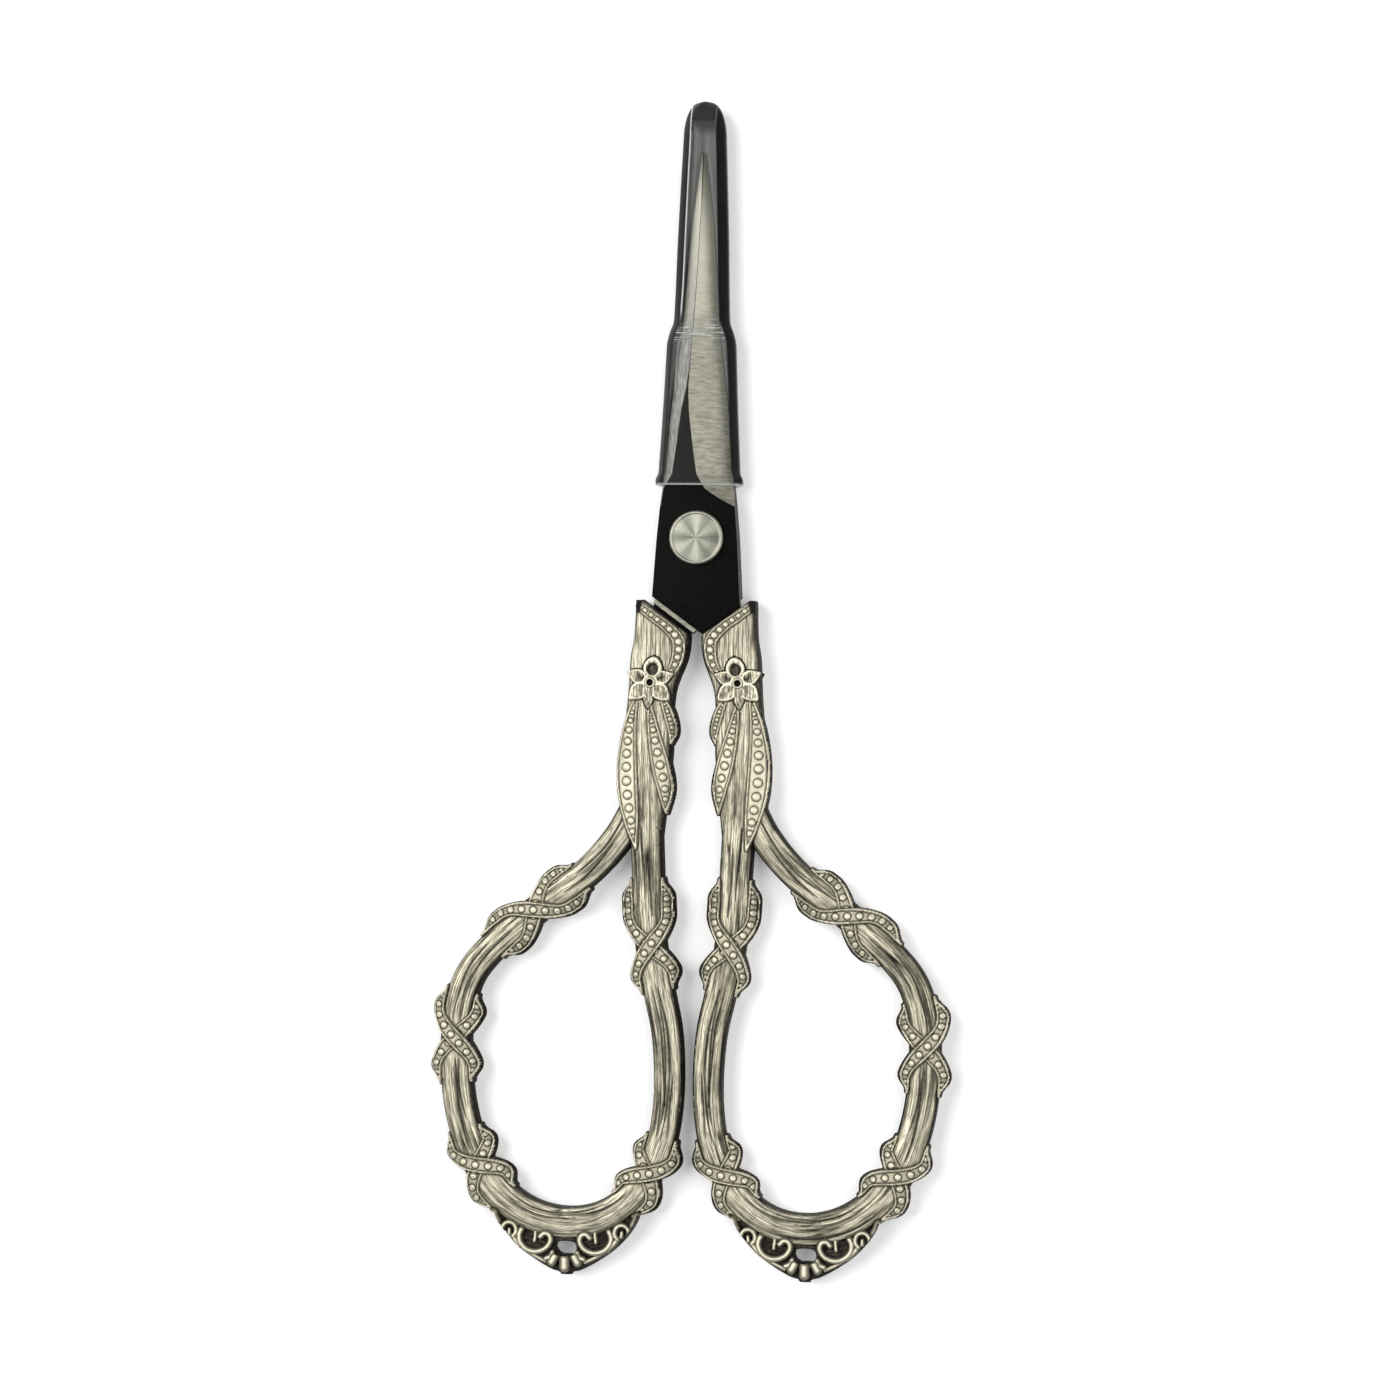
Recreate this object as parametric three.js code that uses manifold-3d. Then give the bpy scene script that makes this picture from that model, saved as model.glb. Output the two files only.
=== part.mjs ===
// Embroidery scissors with cast, ribbon-wound handles and a clear sleeve over the closed blades.
// Millimetres, +Z up, lying flat: the tips point along +Y and the pivot axis stands along Z.
// Both halves are one shape: the lower half is the upper half turned half round about the long axis.
// Pieces of a half are drawn from the pivot axis, with z = 0 where the two blades meet.
import * as THREE from "three";
import { mergeVertices } from "three/addons/utils/BufferGeometryUtils.js";
import Module from "manifold-3d";

const wasm = await Module();
wasm.setup();

// Driving dimensions of the blades.
const BLADE_REACH = 42.6;
const BLADE_THICKNESS = 1.4;
const BLADE_RUNNING_GAP = 0.06;
const BLADE_TIP_HALF_WIDTH = 0.22;
const CUTTING_EDGE_THICKNESS = 0.12;
const SPINE_CHAMFER_WIDTH = 1.0;
const SPINE_CHAMFER_DEPTH = 0.75;
const BEVEL_TAIL_Y = 3.5;
const RICASSO_HALF_WIDTH = 4.45;
const RICASSO_TAPER = 0.32;
const RICASSO_FLARE = 0.4;
const RICASSO_SHOULDER_REACH = 8.1;
const SHOULDER_ANGLE = THREE.MathUtils.degToRad(36);
const SHOULDER_GAP = 1.0;
const TANG_THICKNESS = 0.8;
const TANG_HALF_WIDTH = 1.15;
const TANG_END_HALF_WIDTH = 0.9;
const TANG_END_Y = -25;
const TANG_LEAN = 0.04;
const TANG_NECK_RUN = 3;
const TANG_ROOT_LEFT = 2.1;
const TANG_ROOT_RIGHT = 4.6;
const TANG_ROOT_OVERLAP = 1;
const TANG_CLEARANCE = 0.15;

// Driving dimensions of the handles.
const HANDLE_HALF_THICKNESS = 2.2;
const HANDLE_SEAM = 0.1;
const ARM_HALF_WIDTH = 1.6;
const ARM_CREST = 1.85;
const ARM_WALL_HEIGHT = 0.7;
const SHANK_TOP_Y = -6.9;
const SHANK_END_Y = -32.5;
const SHANK_CREST = 1.9;
const SHANK_WALL_HEIGHT = 0.8;
const RIM_HALF_WIDTH = 0.65;
const RIM_OUTER_X = 6.2;
const RIM_ROOT_Z = 0.6;
const RIM_EDGE_DROP = 0.15;
const RIM_INSET = 0.1;
const FLAT_TRIM = 0.08;
const TAIL_ROOT_Z = 0.3;
const TAIL_EDGE_DROP = 0.45;
const RIBBON_HALF_WIDTH = 1.05;
const RIBBON_END_HALF_WIDTH = 0.8;
const RIBBON_RISE = 0.45;
const RIBBON_SIDE_RISE = 1.1;
const RIBBON_END_RISE = 0.7;
const RIBBON_ROOT = 0.6;
const RIBBON_TURN = 1.25;
const FORK_Y = -28;
const BOW_LENGTH = 47.3;
const CREST_DEPTH = 5.4;
const BOW_OUTER_X = 25.95;
const BOW_MIDDLE_SHARE = 0.509;
const CREST_HALF_WIDTH = 8;
const CREST_RISE = 1.15;
const HANGING_HOLE_HALF_WIDTH = 1.3;
const HANGING_HOLE_HALF_HEIGHT = 0.85;
const HANGING_HOLE_INSET = 2.75;
const SCROLL_OFFSET = 3.3;
const SCROLL_INSET = 3.8;
const SCROLL_RADIUS = 1.35;
const SCROLL_WIDTH = 0.42;
const SCROLL_RELIEF = 0.25;

// Driving dimensions of the flowers, and of the hollow rivet that pins each handle to its tang.
const FLOWER_X = 4.84;
const FLOWER_Y = -15.95;
const FLOWER_THICKNESS = 0.75;
const FLOWER_PETALS = 5;
const PETAL_HALF_LENGTH = 1.3;
const PETAL_HALF_WIDTH = 1.0;
const PETAL_OFFSET = 1.25;
const PETAL_UNDERCUT = 0.8;
const FLOWER_EYE_RADIUS = 0.95;
const FLOWER_SEAT_CLEARANCE = 0.1;
const RIVET_RADIUS = 0.62;
const RIVET_BORE_RADIUS = 0.32;
const RIVET_BORE_DEPTH = 0.6;
const RIVET_CLEARANCE = 0.08;
const RIVET_RECESS = 0.05;

// Driving dimensions of the pivot.
const SCREW_HEAD_RADIUS = 3.0;
const SCREW_HEAD_HEIGHT = 0.68;
const SCREW_HEAD_CHAMFER = 0.3;
const SCREW_SEAT_GAP = 0.04;
const SCREW_SHANK_RADIUS = 1.5;
const SCREW_THREAD_RADIUS = 1.2;
const SCREW_THREAD_OVERLAP = 0.2;
const SCREW_CLEARANCE = 0.1;
const NUT_RADIUS = 2.6;
const NUT_HEIGHT = 0.62;

// Driving dimensions of the clear sleeve.
const GUARD_MOUTH_Y = 5.8;
const GUARD_WALL = 0.55;
const GUARD_CLEARANCE = 0.22;
const GUARD_TIP_ROOM = 1.6;
const GUARD_TIP_GAP = 2.6;
const GUARD_TIP_WALL = 3.2;
const GUARD_LIP_WIDTH = 0.3;
const GUARD_LIP_HEIGHT = 1;
const GUARD_CORNER_RADIUS = 1.3;
const GUARD_NOSE_HALF_WIDTH = 0.6;

// Places that follow from the driving dimensions.
const BLADE_INNER_Z = BLADE_RUNNING_GAP / 2;
const BLADE_OUTER_Z = BLADE_INNER_Z + BLADE_THICKNESS;
const TANG_TOP_Z = BLADE_INNER_Z + TANG_THICKNESS;
const COLLAR_SHOULDER_REACH = RICASSO_SHOULDER_REACH + SHOULDER_GAP;
const BOW_REACH = BOW_LENGTH + CREST_DEPTH - FORK_Y;
const BOW_MIDDLE_X = BOW_MIDDLE_SHARE * BOW_OUTER_X;
const FLOWER_SEAT_Z = HANDLE_HALF_THICKNESS - FLOWER_THICKNESS;
const FLOWER_RADIUS = PETAL_OFFSET + PETAL_HALF_LENGTH;
const GUARD_HALF_THICKNESS = BLADE_OUTER_Z + GUARD_CLEARANCE + GUARD_WALL;
const GUARD_CAVITY_END = BLADE_REACH + GUARD_TIP_GAP;
const GUARD_REACH = GUARD_CAVITY_END + GUARD_TIP_WALL;
const CUT_MARGIN = 1;
const UP = new THREE.Vector3(0, 0, 1);

// Solids.

function solidOf(geometry) {
  const bare = geometry.clone();
  bare.deleteAttribute("normal");
  bare.deleteAttribute("uv");
  const merged = mergeVertices(bare, 1e-4);
  return new wasm.Manifold(
    new wasm.Mesh({
      numProp: 3,
      vertProperties: merged.getAttribute("position").array,
      triVerts: new Uint32Array(merged.index.array),
    }),
  );
}

function geometryOf(solid) {
  const mesh = solid.getMesh();
  const geometry = new THREE.BufferGeometry();
  geometry.setAttribute("position", new THREE.BufferAttribute(mesh.vertProperties, 3));
  geometry.setIndex(new THREE.BufferAttribute(mesh.triVerts, 1));
  return geometry;
}

function joined(solids) {
  return solids.reduce((whole, piece) => whole.add(piece));
}

// A closed skin over loops of points. Each loop runs counter-clockwise about the way the loops advance.
function loft(loops) {
  const count = loops[0].length;
  const last = (loops.length - 1) * count;
  const faces = [];
  for (let start = 0; start < last; start += count) {
    for (let j = 0; j < count; j++) {
      const a = start + j;
      const b = start + ((j + 1) % count);
      faces.push(a, b, b + count, a, b + count, a + count);
    }
  }
  for (let j = 1; j + 1 < count; j++) {
    faces.push(0, j + 1, j);
    faces.push(last, last + j, last + j + 1);
  }
  const positions = loops.flat().flatMap((point) => point.toArray());
  const geometry = new THREE.BufferGeometry();
  geometry.setAttribute("position", new THREE.Float32BufferAttribute(positions, 3));
  geometry.setIndex(faces);
  return solidOf(geometry);
}

// A section set across a flat-lying path: its first axis points to the left of the way along, its second up.
function placed(section, origin, along) {
  const left = new THREE.Vector3().crossVectors(UP, along).normalize();
  return section.map(([n, z]) => origin.clone().addScaledVector(left, n).addScaledVector(UP, z));
}

function lathed(profilePoints, segments) {
  const points = profilePoints.map(([r, z]) => new THREE.Vector2(r, z));
  return new THREE.LatheGeometry(points, segments).rotateX(Math.PI / 2);
}

function upright(radius, low, high, x, y, segments) {
  const geometry = new THREE.CylinderGeometry(radius, radius, high - low, segments);
  geometry.rotateX(Math.PI / 2);
  geometry.translate(x, y, (low + high) / 2);
  return solidOf(geometry);
}

function plate(points, low, high) {
  const shape = new THREE.Shape(points.map(([x, y]) => new THREE.Vector2(x, y)));
  const geometry = new THREE.ExtrudeGeometry(shape, { depth: high - low, bevelEnabled: false });
  geometry.translate(0, 0, low);
  return solidOf(geometry);
}

// A smooth curve through [place, value] pairs, read by place.
function profile(pairs) {
  const curve = new THREE.SplineCurve(pairs.map(([place, value]) => new THREE.Vector2(place, value)));
  const points = curve.getPoints(pairs.length * 8);
  const start = points[0].x;
  return (place) => {
    const found = points.findIndex((point) => Math.abs(point.x - start) > Math.abs(place - start));
    const next = found < 0 ? points.length - 1 : found;
    const [from, to] = [points[next - 1], points[next]];
    return THREE.MathUtils.mapLinear(place, from.x, to.x, from.y, to.y);
  };
}

// Blades: forged steel, with a flat left between the spine chamfer and the ground bevel.

const fromTail = (share) => BEVEL_TAIL_Y + share * (BLADE_REACH - BEVEL_TAIL_Y);
const bladeRootHalfWidth = RICASSO_HALF_WIDTH - RICASSO_TAPER;
const bladeHalfWidth = profile([
  [BEVEL_TAIL_Y, bladeRootHalfWidth],
  [fromTail(0.12), 0.872 * bladeRootHalfWidth],
  [fromTail(0.27), 0.746 * bladeRootHalfWidth],
  [fromTail(0.48), 0.496 * bladeRootHalfWidth],
  [fromTail(0.63), 0.392 * bladeRootHalfWidth],
  [fromTail(0.8), 0.262 * bladeRootHalfWidth],
  [BLADE_REACH, BLADE_TIP_HALF_WIDTH],
]);

// The bevel runs out at its tail. Ridge is where it starts, as a share of the half width at that place;
// edge is how much thickness is left at the cutting edge, and chamfer how far the spine chamfer has grown.
const BEVEL_STATIONS = [
  { share: 0, ridge: 0.99, edge: 0.98, chamfer: 0.03 },
  { share: 0.02, ridge: 0.72, edge: 0.5, chamfer: 0.5 },
  { share: 0.05, ridge: 0.25, edge: 0.2, chamfer: 0.85 },
  { share: 0.09, ridge: -0.04, edge: 0, chamfer: 1 },
  { share: 0.27, ridge: -0.38, edge: 0, chamfer: 1 },
  { share: 0.36, ridge: -0.48, edge: 0, chamfer: 1 },
  { share: 0.48, ridge: -0.42, edge: 0, chamfer: 1 },
  { share: 0.63, ridge: -0.3, edge: 0, chamfer: 0.9 },
  { share: 0.8, ridge: -0.2, edge: 0, chamfer: 0.8 },
  { share: 1, ridge: 0, edge: 0, chamfer: 0.6 },
];

function bladeSection({ share, ridge, edge, chamfer }) {
  const y = fromTail(share);
  const half = bladeHalfWidth(y);
  const ridgeX = ridge * half;
  const flatStart = Math.min(chamfer * SPINE_CHAMFER_WIDTH - half, ridgeX - CUTTING_EDGE_THICKNESS / 2);
  const edgeZ = BLADE_INNER_Z + THREE.MathUtils.lerp(CUTTING_EDGE_THICKNESS, BLADE_THICKNESS, edge);
  const outline = [
    [-half, BLADE_INNER_Z],
    [-half, BLADE_OUTER_Z - chamfer * SPINE_CHAMFER_DEPTH],
    [flatStart, BLADE_OUTER_Z],
    [ridgeX, BLADE_OUTER_Z],
    [half, edgeZ],
    [half, BLADE_INNER_Z],
  ];
  return outline.map(([x, z]) => new THREE.Vector3(x, y, z));
}

// The y of a shoulder line that slants down to the left and lies its reach away from the pivot axis.
function shoulderY(x, reach) {
  return -(reach - x * Math.sin(SHOULDER_ANGLE)) / Math.cos(SHOULDER_ANGLE);
}

// The ricasso carries the pivot. Its left shoulder clears the other handle, its right one butts on its own.
function ricassoOutline() {
  const corner = RICASSO_HALF_WIDTH + RICASSO_FLARE;
  const top = bladeHalfWidth(BEVEL_TAIL_Y);
  const buttReach = COLLAR_SHOULDER_REACH - TANG_CLEARANCE;
  const lowestX = (buttReach - RICASSO_SHOULDER_REACH) / (2 * Math.sin(SHOULDER_ANGLE));
  return [
    [top, BEVEL_TAIL_Y],
    [-top, BEVEL_TAIL_Y],
    [-RICASSO_HALF_WIDTH, 0],
    [-corner, shoulderY(corner, RICASSO_SHOULDER_REACH)],
    [lowestX, shoulderY(lowestX, buttReach)],
    [corner, shoulderY(corner, buttReach)],
    [RICASSO_HALF_WIDTH, 0],
  ];
}

// The tang is thinner than the blade and runs from inside the collar to below the flower.
function tangOutline(grown) {
  const axis = (y) => FLOWER_X + (FLOWER_Y - y) * TANG_LEAN;
  const neckY = FLOWER_Y + TANG_NECK_RUN;
  const neckHalf = TANG_HALF_WIDTH + grown;
  const endY = TANG_END_Y - grown;
  const endHalf = TANG_END_HALF_WIDTH + grown;
  const root = (x) => [x, shoulderY(x, COLLAR_SHOULDER_REACH) + TANG_ROOT_OVERLAP];
  return [
    root(TANG_ROOT_LEFT - grown),
    [axis(neckY) - neckHalf, neckY],
    [axis(endY) - endHalf, endY],
    [axis(endY) + endHalf, endY],
    [axis(neckY) + neckHalf, neckY],
    root(TANG_ROOT_RIGHT + grown),
  ];
}

function rivetBore() {
  const end = HANDLE_HALF_THICKNESS + CUT_MARGIN;
  return upright(RIVET_RADIUS + RIVET_CLEARANCE, -end, end, FLOWER_X, FLOWER_Y, 12);
}

function blade() {
  const working = loft(BEVEL_STATIONS.map(bladeSection));
  const ricasso = plate(ricassoOutline(), BLADE_INNER_Z, BLADE_OUTER_Z);
  const tang = plate(tangOutline(0), BLADE_INNER_Z, TANG_TOP_Z);
  const boreRadius = SCREW_SHANK_RADIUS + SCREW_CLEARANCE;
  const pivotBore = upright(boreRadius, -CUT_MARGIN, BLADE_OUTER_Z + CUT_MARGIN, 0, 0, 24);
  return joined([working, ricasso, tang]).subtract(pivotBore).subtract(rivetBore());
}

// Handles: each is two half castings that meet at the seam and close over the tang.

// The bow's centre line, from the fork down the inner arm, round the finger loop and up the outer arm.
// Each point is a share of the bow's outer distance from the pivot axis, and of its length below the fork.
const BOW_LINE = [
  [0.204, 0], [0.197, 0.106], [0.189, 0.19], [0.183, 0.275], [0.168, 0.364], [0.131, 0.465],
  [0.098, 0.55], [0.085, 0.645], [0.089, 0.729], [0.11, 0.803], [0.16, 0.875], [0.243, 0.941],
  [0.362, 0.985], [BOW_MIDDLE_SHARE, 1], [0.655, 0.985], [0.782, 0.943], [0.879, 0.879], [0.94, 0.808],
  [0.983, 0.719], [1, 0.603], [0.988, 0.507], [0.94, 0.427], [0.829, 0.353], [0.659, 0.275],
  [0.447, 0.186], [0.316, 0.104], [0.231, 0.021],
];
const bowCurve = new THREE.CatmullRomCurve3(
  BOW_LINE.map(([out, down]) => new THREE.Vector3(out * BOW_OUTER_X, FORK_Y - down * BOW_LENGTH, 0)),
  false,
  "centripetal",
);
bowCurve.arcLengthDivisions = 800;

// The arms swell round the loop and are slimmest half way down the inner arm.
const armHalfWidth = profile([
  [0, ARM_HALF_WIDTH + 0.2],
  [0.2, ARM_HALF_WIDTH + 0.1],
  [0.34, ARM_HALF_WIDTH],
  [0.5, ARM_HALF_WIDTH + 0.2],
  [0.72, ARM_HALF_WIDTH + 0.1],
  [0.86, ARM_HALF_WIDTH],
  [1, ARM_HALF_WIDTH + 0.1],
]);

// A flat base, two low walls and a domed crest.
function domeSection(halfWidth, crest, wall) {
  const steps = 4;
  const loop = [[-halfWidth, 0], [halfWidth, 0]];
  for (let i = 0; i <= steps; i++) {
    const angle = (Math.PI * i) / steps;
    loop.push([halfWidth * Math.cos(angle), wall + (crest - wall) * Math.sin(angle)]);
  }
  return loop;
}

function bowArms() {
  const steps = 36;
  const loops = [];
  for (let i = 0; i <= steps; i++) {
    const share = i / steps;
    const section = domeSection(armHalfWidth(share), ARM_CREST, ARM_WALL_HEIGHT);
    loops.push(placed(section, bowCurve.getPointAt(share), bowCurve.getTangentAt(share)));
  }
  return loft(loops);
}

const shankMiddle = profile([
  [SHANK_TOP_Y, 3.75], [-10.9, 3.75], [-13.1, 4.05], [-16.9, 4.8], [-24, 5.2], [SHANK_END_Y, 5.8],
]);
const shankHalfWidth = profile([
  [SHANK_TOP_Y, 2.95], [-10.9, 3.1], [-13.1, 3.15], [-16.9, 2.6], [-24, 2.75], [SHANK_END_Y, 2.5],
]);

function shank() {
  const steps = 8;
  const along = new THREE.Vector3(0, -1, 0);
  const loops = [];
  for (let i = 0; i <= steps; i++) {
    const y = THREE.MathUtils.lerp(SHANK_TOP_Y, SHANK_END_Y, i / steps);
    const section = domeSection(shankHalfWidth(y), SHANK_CREST, SHANK_WALL_HEIGHT);
    loops.push(placed(section, new THREE.Vector3(shankMiddle(y), y, 0), along));
  }
  return loft(loops).subtract(aboveShoulder());
}

// Everything on the blade's side of the collar's slanted end.
function aboveShoulder() {
  const size = BOW_REACH;
  const box = new THREE.BoxGeometry(size, size, size);
  box.translate(0, size / 2 - COLLAR_SHOULDER_REACH, 0);
  box.rotateZ(SHOULDER_ANGLE);
  return solidOf(box);
}

// A raised band on a flat-lying path of [x, y, half width]. The ridge along its middle is trimmed flat.
function band(points, low, edge) {
  const crest = HANDLE_HALF_THICKNESS + FLAT_TRIM;
  const curve = new THREE.CatmullRomCurve3(points.map(([x, y, half]) => new THREE.Vector3(x, y, half)));
  const steps = points.length + 1;
  const loops = [];
  for (let i = 0; i <= steps; i++) {
    const { x, y, z: half } = curve.getPoint(i / steps);
    const along = curve.getTangent(i / steps).setZ(0);
    const section = [[-half, low], [half, low], [half, edge], [0, crest], [-half, edge]];
    loops.push(placed(section, new THREE.Vector3(x, y, 0), along));
  }
  return loft(loops);
}

// The beaded rim of the collar follows the slanted end, then turns down the inner side to the flower.
function collarRim() {
  const half = RIM_HALF_WIDTH;
  const alongEnd = (x) => [x, shoulderY(x, COLLAR_SHOULDER_REACH + RIM_INSET + half), half];
  const downInside = [[1.7, -11.6, half], [1.7, -13.2, half], [2.8, -15.2, half]];
  const points = [alongEnd(RIM_OUTER_X), alongEnd(RIM_OUTER_X / 2), ...downInside];
  return band(points, RIM_ROOT_Z, HANDLE_HALF_THICKNESS - RIM_EDGE_DROP);
}

// Ribbon tails that fall from the flower: a long outer one, a long inner one and a short inner one.
const TAILS = [
  [[6.3, -17.8, 0.35], [7.25, -22.5, 1.1], [7.25, -26.5, 1.25], [6.7, -31, 0.9], [6.1, -34.2, 0.12]],
  [[5.0, -18.0, 0.3], [4.3, -22.2, 0.8], [3.35, -26, 1.05], [2.95, -28.6, 0.7], [3, -30.2, 0.12]],
  [[3.55, -17.4, 0.35], [2.75, -19.4, 0.6], [2.35, -21.4, 0.45], [2.5, -22.6, 0.12]],
];

function tails() {
  const edge = HANDLE_HALF_THICKNESS - TAIL_EDGE_DROP;
  return TAILS.map((points) => band(points, TAIL_ROOT_Z, edge));
}

// Five pairs of ribbons cross on the arms: each lies at a share of the centre line and has a half run.
const RIBBON_CROSSINGS = [
  { place: 0.15, run: 5.2 },
  { place: 0.37, run: 4.2 },
  { place: 0.584, run: 5 },
  { place: 0.715, run: 5.2 },
  { place: 0.857, run: 5.8 },
];

// A ribbon stands proud least on the crest and most where it turns down the side.
const ribbonRise = profile([
  [0, RIBBON_RISE], [0.25, RIBBON_RISE], [0.75, RIBBON_SIDE_RISE], [RIBBON_TURN, RIBBON_END_RISE],
]);

// One ribbon of a pair climbs one side wall, crosses the crest and goes down the other.
function ribbon({ place, run }, hand) {
  const steps = 5;
  const length = bowCurve.getLength();
  const pathAt = (u) => {
    const share = place + (hand * u * run) / length;
    const half = armHalfWidth(share);
    const angle = (Math.PI / 2) * (1 - u);
    const along = bowCurve.getTangentAt(share);
    const out = [half * Math.cos(angle), ARM_CREST * Math.sin(angle)];
    const [at] = placed([out], bowCurve.getPointAt(share), along);
    const slant = [Math.cos(angle) / half, Math.sin(angle) / ARM_CREST];
    const [slope] = placed([slant], new THREE.Vector3(), along);
    return { at, normal: slope.normalize() };
  };
  const loops = [];
  for (let i = 0; i <= steps; i++) {
    const u = RIBBON_TURN * ((2 * i) / steps - 1);
    const nudge = 0.02;
    const { at, normal } = pathAt(u);
    const tangent = pathAt(u + nudge).at.sub(pathAt(u - nudge).at);
    const across = new THREE.Vector3().crossVectors(normal, tangent).normalize();
    const half = THREE.MathUtils.lerp(RIBBON_HALF_WIDTH, RIBBON_END_HALF_WIDTH, Math.abs(u) / RIBBON_TURN);
    const rise = ribbonRise(Math.abs(u));
    const section = [[-half, -RIBBON_ROOT], [half, -RIBBON_ROOT], [half, rise], [-half, rise]];
    loops.push(section.map(([b, h]) => at.clone().addScaledVector(across, b).addScaledVector(normal, h)));
  }
  return loft(loops);
}

// The pierced crest below the finger loop: a pointed plate with a C-scroll on each side of its hanging hole.
// Its outline runs from the arm to the tip, as shares of its half width and of its depth above the tip.
const CREST_OUTLINE = [[0.98, 1.185], [0.9, 0.926], [0.68, 0.537], [0.42, 0.25], [0.18, 0.055]];

function crest() {
  const tipY = -BOW_REACH;
  const point = (half) => ([share, up]) => [BOW_MIDDLE_X + share * half, tipY + up * CREST_DEPTH];
  const side = (half) => CREST_OUTLINE.map(point(half));
  const outline = [...side(-CREST_HALF_WIDTH), [BOW_MIDDLE_X, tipY], ...side(CREST_HALF_WIDTH).reverse()];
  const hole = new THREE.CylinderGeometry(1, 1, HANDLE_HALF_THICKNESS * 4, 12);
  hole.rotateX(Math.PI / 2);
  hole.scale(HANGING_HOLE_HALF_WIDTH, HANGING_HOLE_HALF_HEIGHT, 1);
  hole.translate(BOW_MIDDLE_X, tipY + HANGING_HOLE_INSET, 0);
  return joined([plate(outline, 0, CREST_RISE), scroll(-1), scroll(1)]).subtract(solidOf(hole));
}

function scroll(side) {
  const steps = 8;
  const half = SCROLL_WIDTH / 2;
  const top = CREST_RISE + SCROLL_RELIEF;
  const section = [[-half, 0], [half, 0], [half, top], [-half, top]];
  const middle = new THREE.Vector3(BOW_MIDDLE_X + side * SCROLL_OFFSET, SCROLL_INSET - BOW_REACH, 0);
  const loops = [];
  for (let i = 0; i <= steps; i++) {
    const angle = Math.PI * (0.6 + (1.7 * i) / steps);
    const outward = new THREE.Vector3(Math.cos(angle), Math.sin(angle), 0);
    const along = new THREE.Vector3(-Math.sin(angle), Math.cos(angle), 0);
    loops.push(placed(section, middle.clone().addScaledVector(outward, SCROLL_RADIUS), along));
  }
  return loft(loops);
}

// The half casting above the seam, trimmed flat where it rests, with its flower's seat and rivet bore.
function halfCasting() {
  const ribbons = RIBBON_CROSSINGS.flatMap((crossing) => [ribbon(crossing, 1), ribbon(crossing, -1)]);
  const whole = joined([bowArms(), shank(), collarRim(), ...tails(), ...ribbons, crest()]);
  const low = HANDLE_SEAM / 2;
  const slab = new THREE.BoxGeometry(4 * BOW_REACH, 4 * BOW_REACH, HANDLE_HALF_THICKNESS - low);
  slab.translate(0, 0, (HANDLE_HALF_THICKNESS + low) / 2);
  const seatRadius = FLOWER_RADIUS + FLOWER_SEAT_CLEARANCE;
  const seatFloor = FLOWER_SEAT_Z - FLOWER_SEAT_CLEARANCE;
  const seat = upright(seatRadius, seatFloor, HANDLE_HALF_THICKNESS + CUT_MARGIN, FLOWER_X, FLOWER_Y, 20);
  return whole.intersect(solidOf(slab)).subtract(seat).subtract(rivetBore());
}

// The tang's outline, grown all round by its clearance.
function tangChannel() {
  return plate(tangOutline(TANG_CLEARANCE), -CUT_MARGIN, TANG_TOP_Z + TANG_CLEARANCE);
}

// Flowers: five petals round an eye, seated in the casting and held by the rivet.
function flower() {
  const top = HANDLE_HALF_THICKNESS;
  const petals = [];
  for (let i = 0; i < FLOWER_PETALS; i++) {
    const petal = new THREE.CylinderGeometry(1, PETAL_UNDERCUT, FLOWER_THICKNESS, 8).rotateX(Math.PI / 2);
    petal.scale(PETAL_HALF_LENGTH, PETAL_HALF_WIDTH, 1);
    petal.translate(PETAL_OFFSET, 0, (top + FLOWER_SEAT_Z) / 2);
    petal.rotateZ(Math.PI / 2 + (2 * Math.PI * i) / FLOWER_PETALS);
    petal.translate(FLOWER_X, FLOWER_Y, 0);
    petals.push(solidOf(petal));
  }
  const eye = upright(FLOWER_EYE_RADIUS, FLOWER_SEAT_Z, top, FLOWER_X, FLOWER_Y, 12);
  return joined([...petals, eye]).subtract(rivetBore());
}

// A hollow-ended rivet from flower to flower, through both castings and the tang.
function rivet() {
  const end = HANDLE_HALF_THICKNESS - RIVET_RECESS;
  const floor = end - RIVET_BORE_DEPTH;
  const lower = [[0, -floor], [RIVET_BORE_RADIUS, -floor], [RIVET_BORE_RADIUS, -end], [RIVET_RADIUS, -end]];
  const upper = lower.map(([r, z]) => [r, -z]).reverse();
  return lathed([...lower, ...upper], 12).translate(FLOWER_X, FLOWER_Y, 0);
}

// Pivot: a broad-headed screw whose shoulder both blades turn on, and a round nut under the lower blade.

function pivotScrew() {
  const seat = BLADE_OUTER_Z + SCREW_SEAT_GAP;
  const top = seat + SCREW_HEAD_HEIGHT;
  const end = -seat - NUT_HEIGHT;
  const shoulder = SCREW_THREAD_OVERLAP - BLADE_OUTER_Z;
  const points = [
    [0, end],
    [SCREW_THREAD_RADIUS, end],
    [SCREW_THREAD_RADIUS, shoulder],
    [SCREW_SHANK_RADIUS, shoulder],
    [SCREW_SHANK_RADIUS, seat],
    [SCREW_HEAD_RADIUS, seat],
    [SCREW_HEAD_RADIUS, top - SCREW_HEAD_CHAMFER],
    [SCREW_HEAD_RADIUS - SCREW_HEAD_CHAMFER, top],
    [0, top],
  ];
  return lathed(points, 24);
}

function pivotNut() {
  const seat = -BLADE_OUTER_Z - SCREW_SEAT_GAP;
  const low = seat - NUT_HEIGHT;
  const bore = SCREW_THREAD_RADIUS + SCREW_CLEARANCE;
  const points = [
    [bore, low],
    [NUT_RADIUS - SCREW_HEAD_CHAMFER, low],
    [NUT_RADIUS, low + SCREW_HEAD_CHAMFER],
    [NUT_RADIUS, seat],
    [bore, seat],
    [bore, low],
  ];
  return lathed(points, 24);
}

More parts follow.
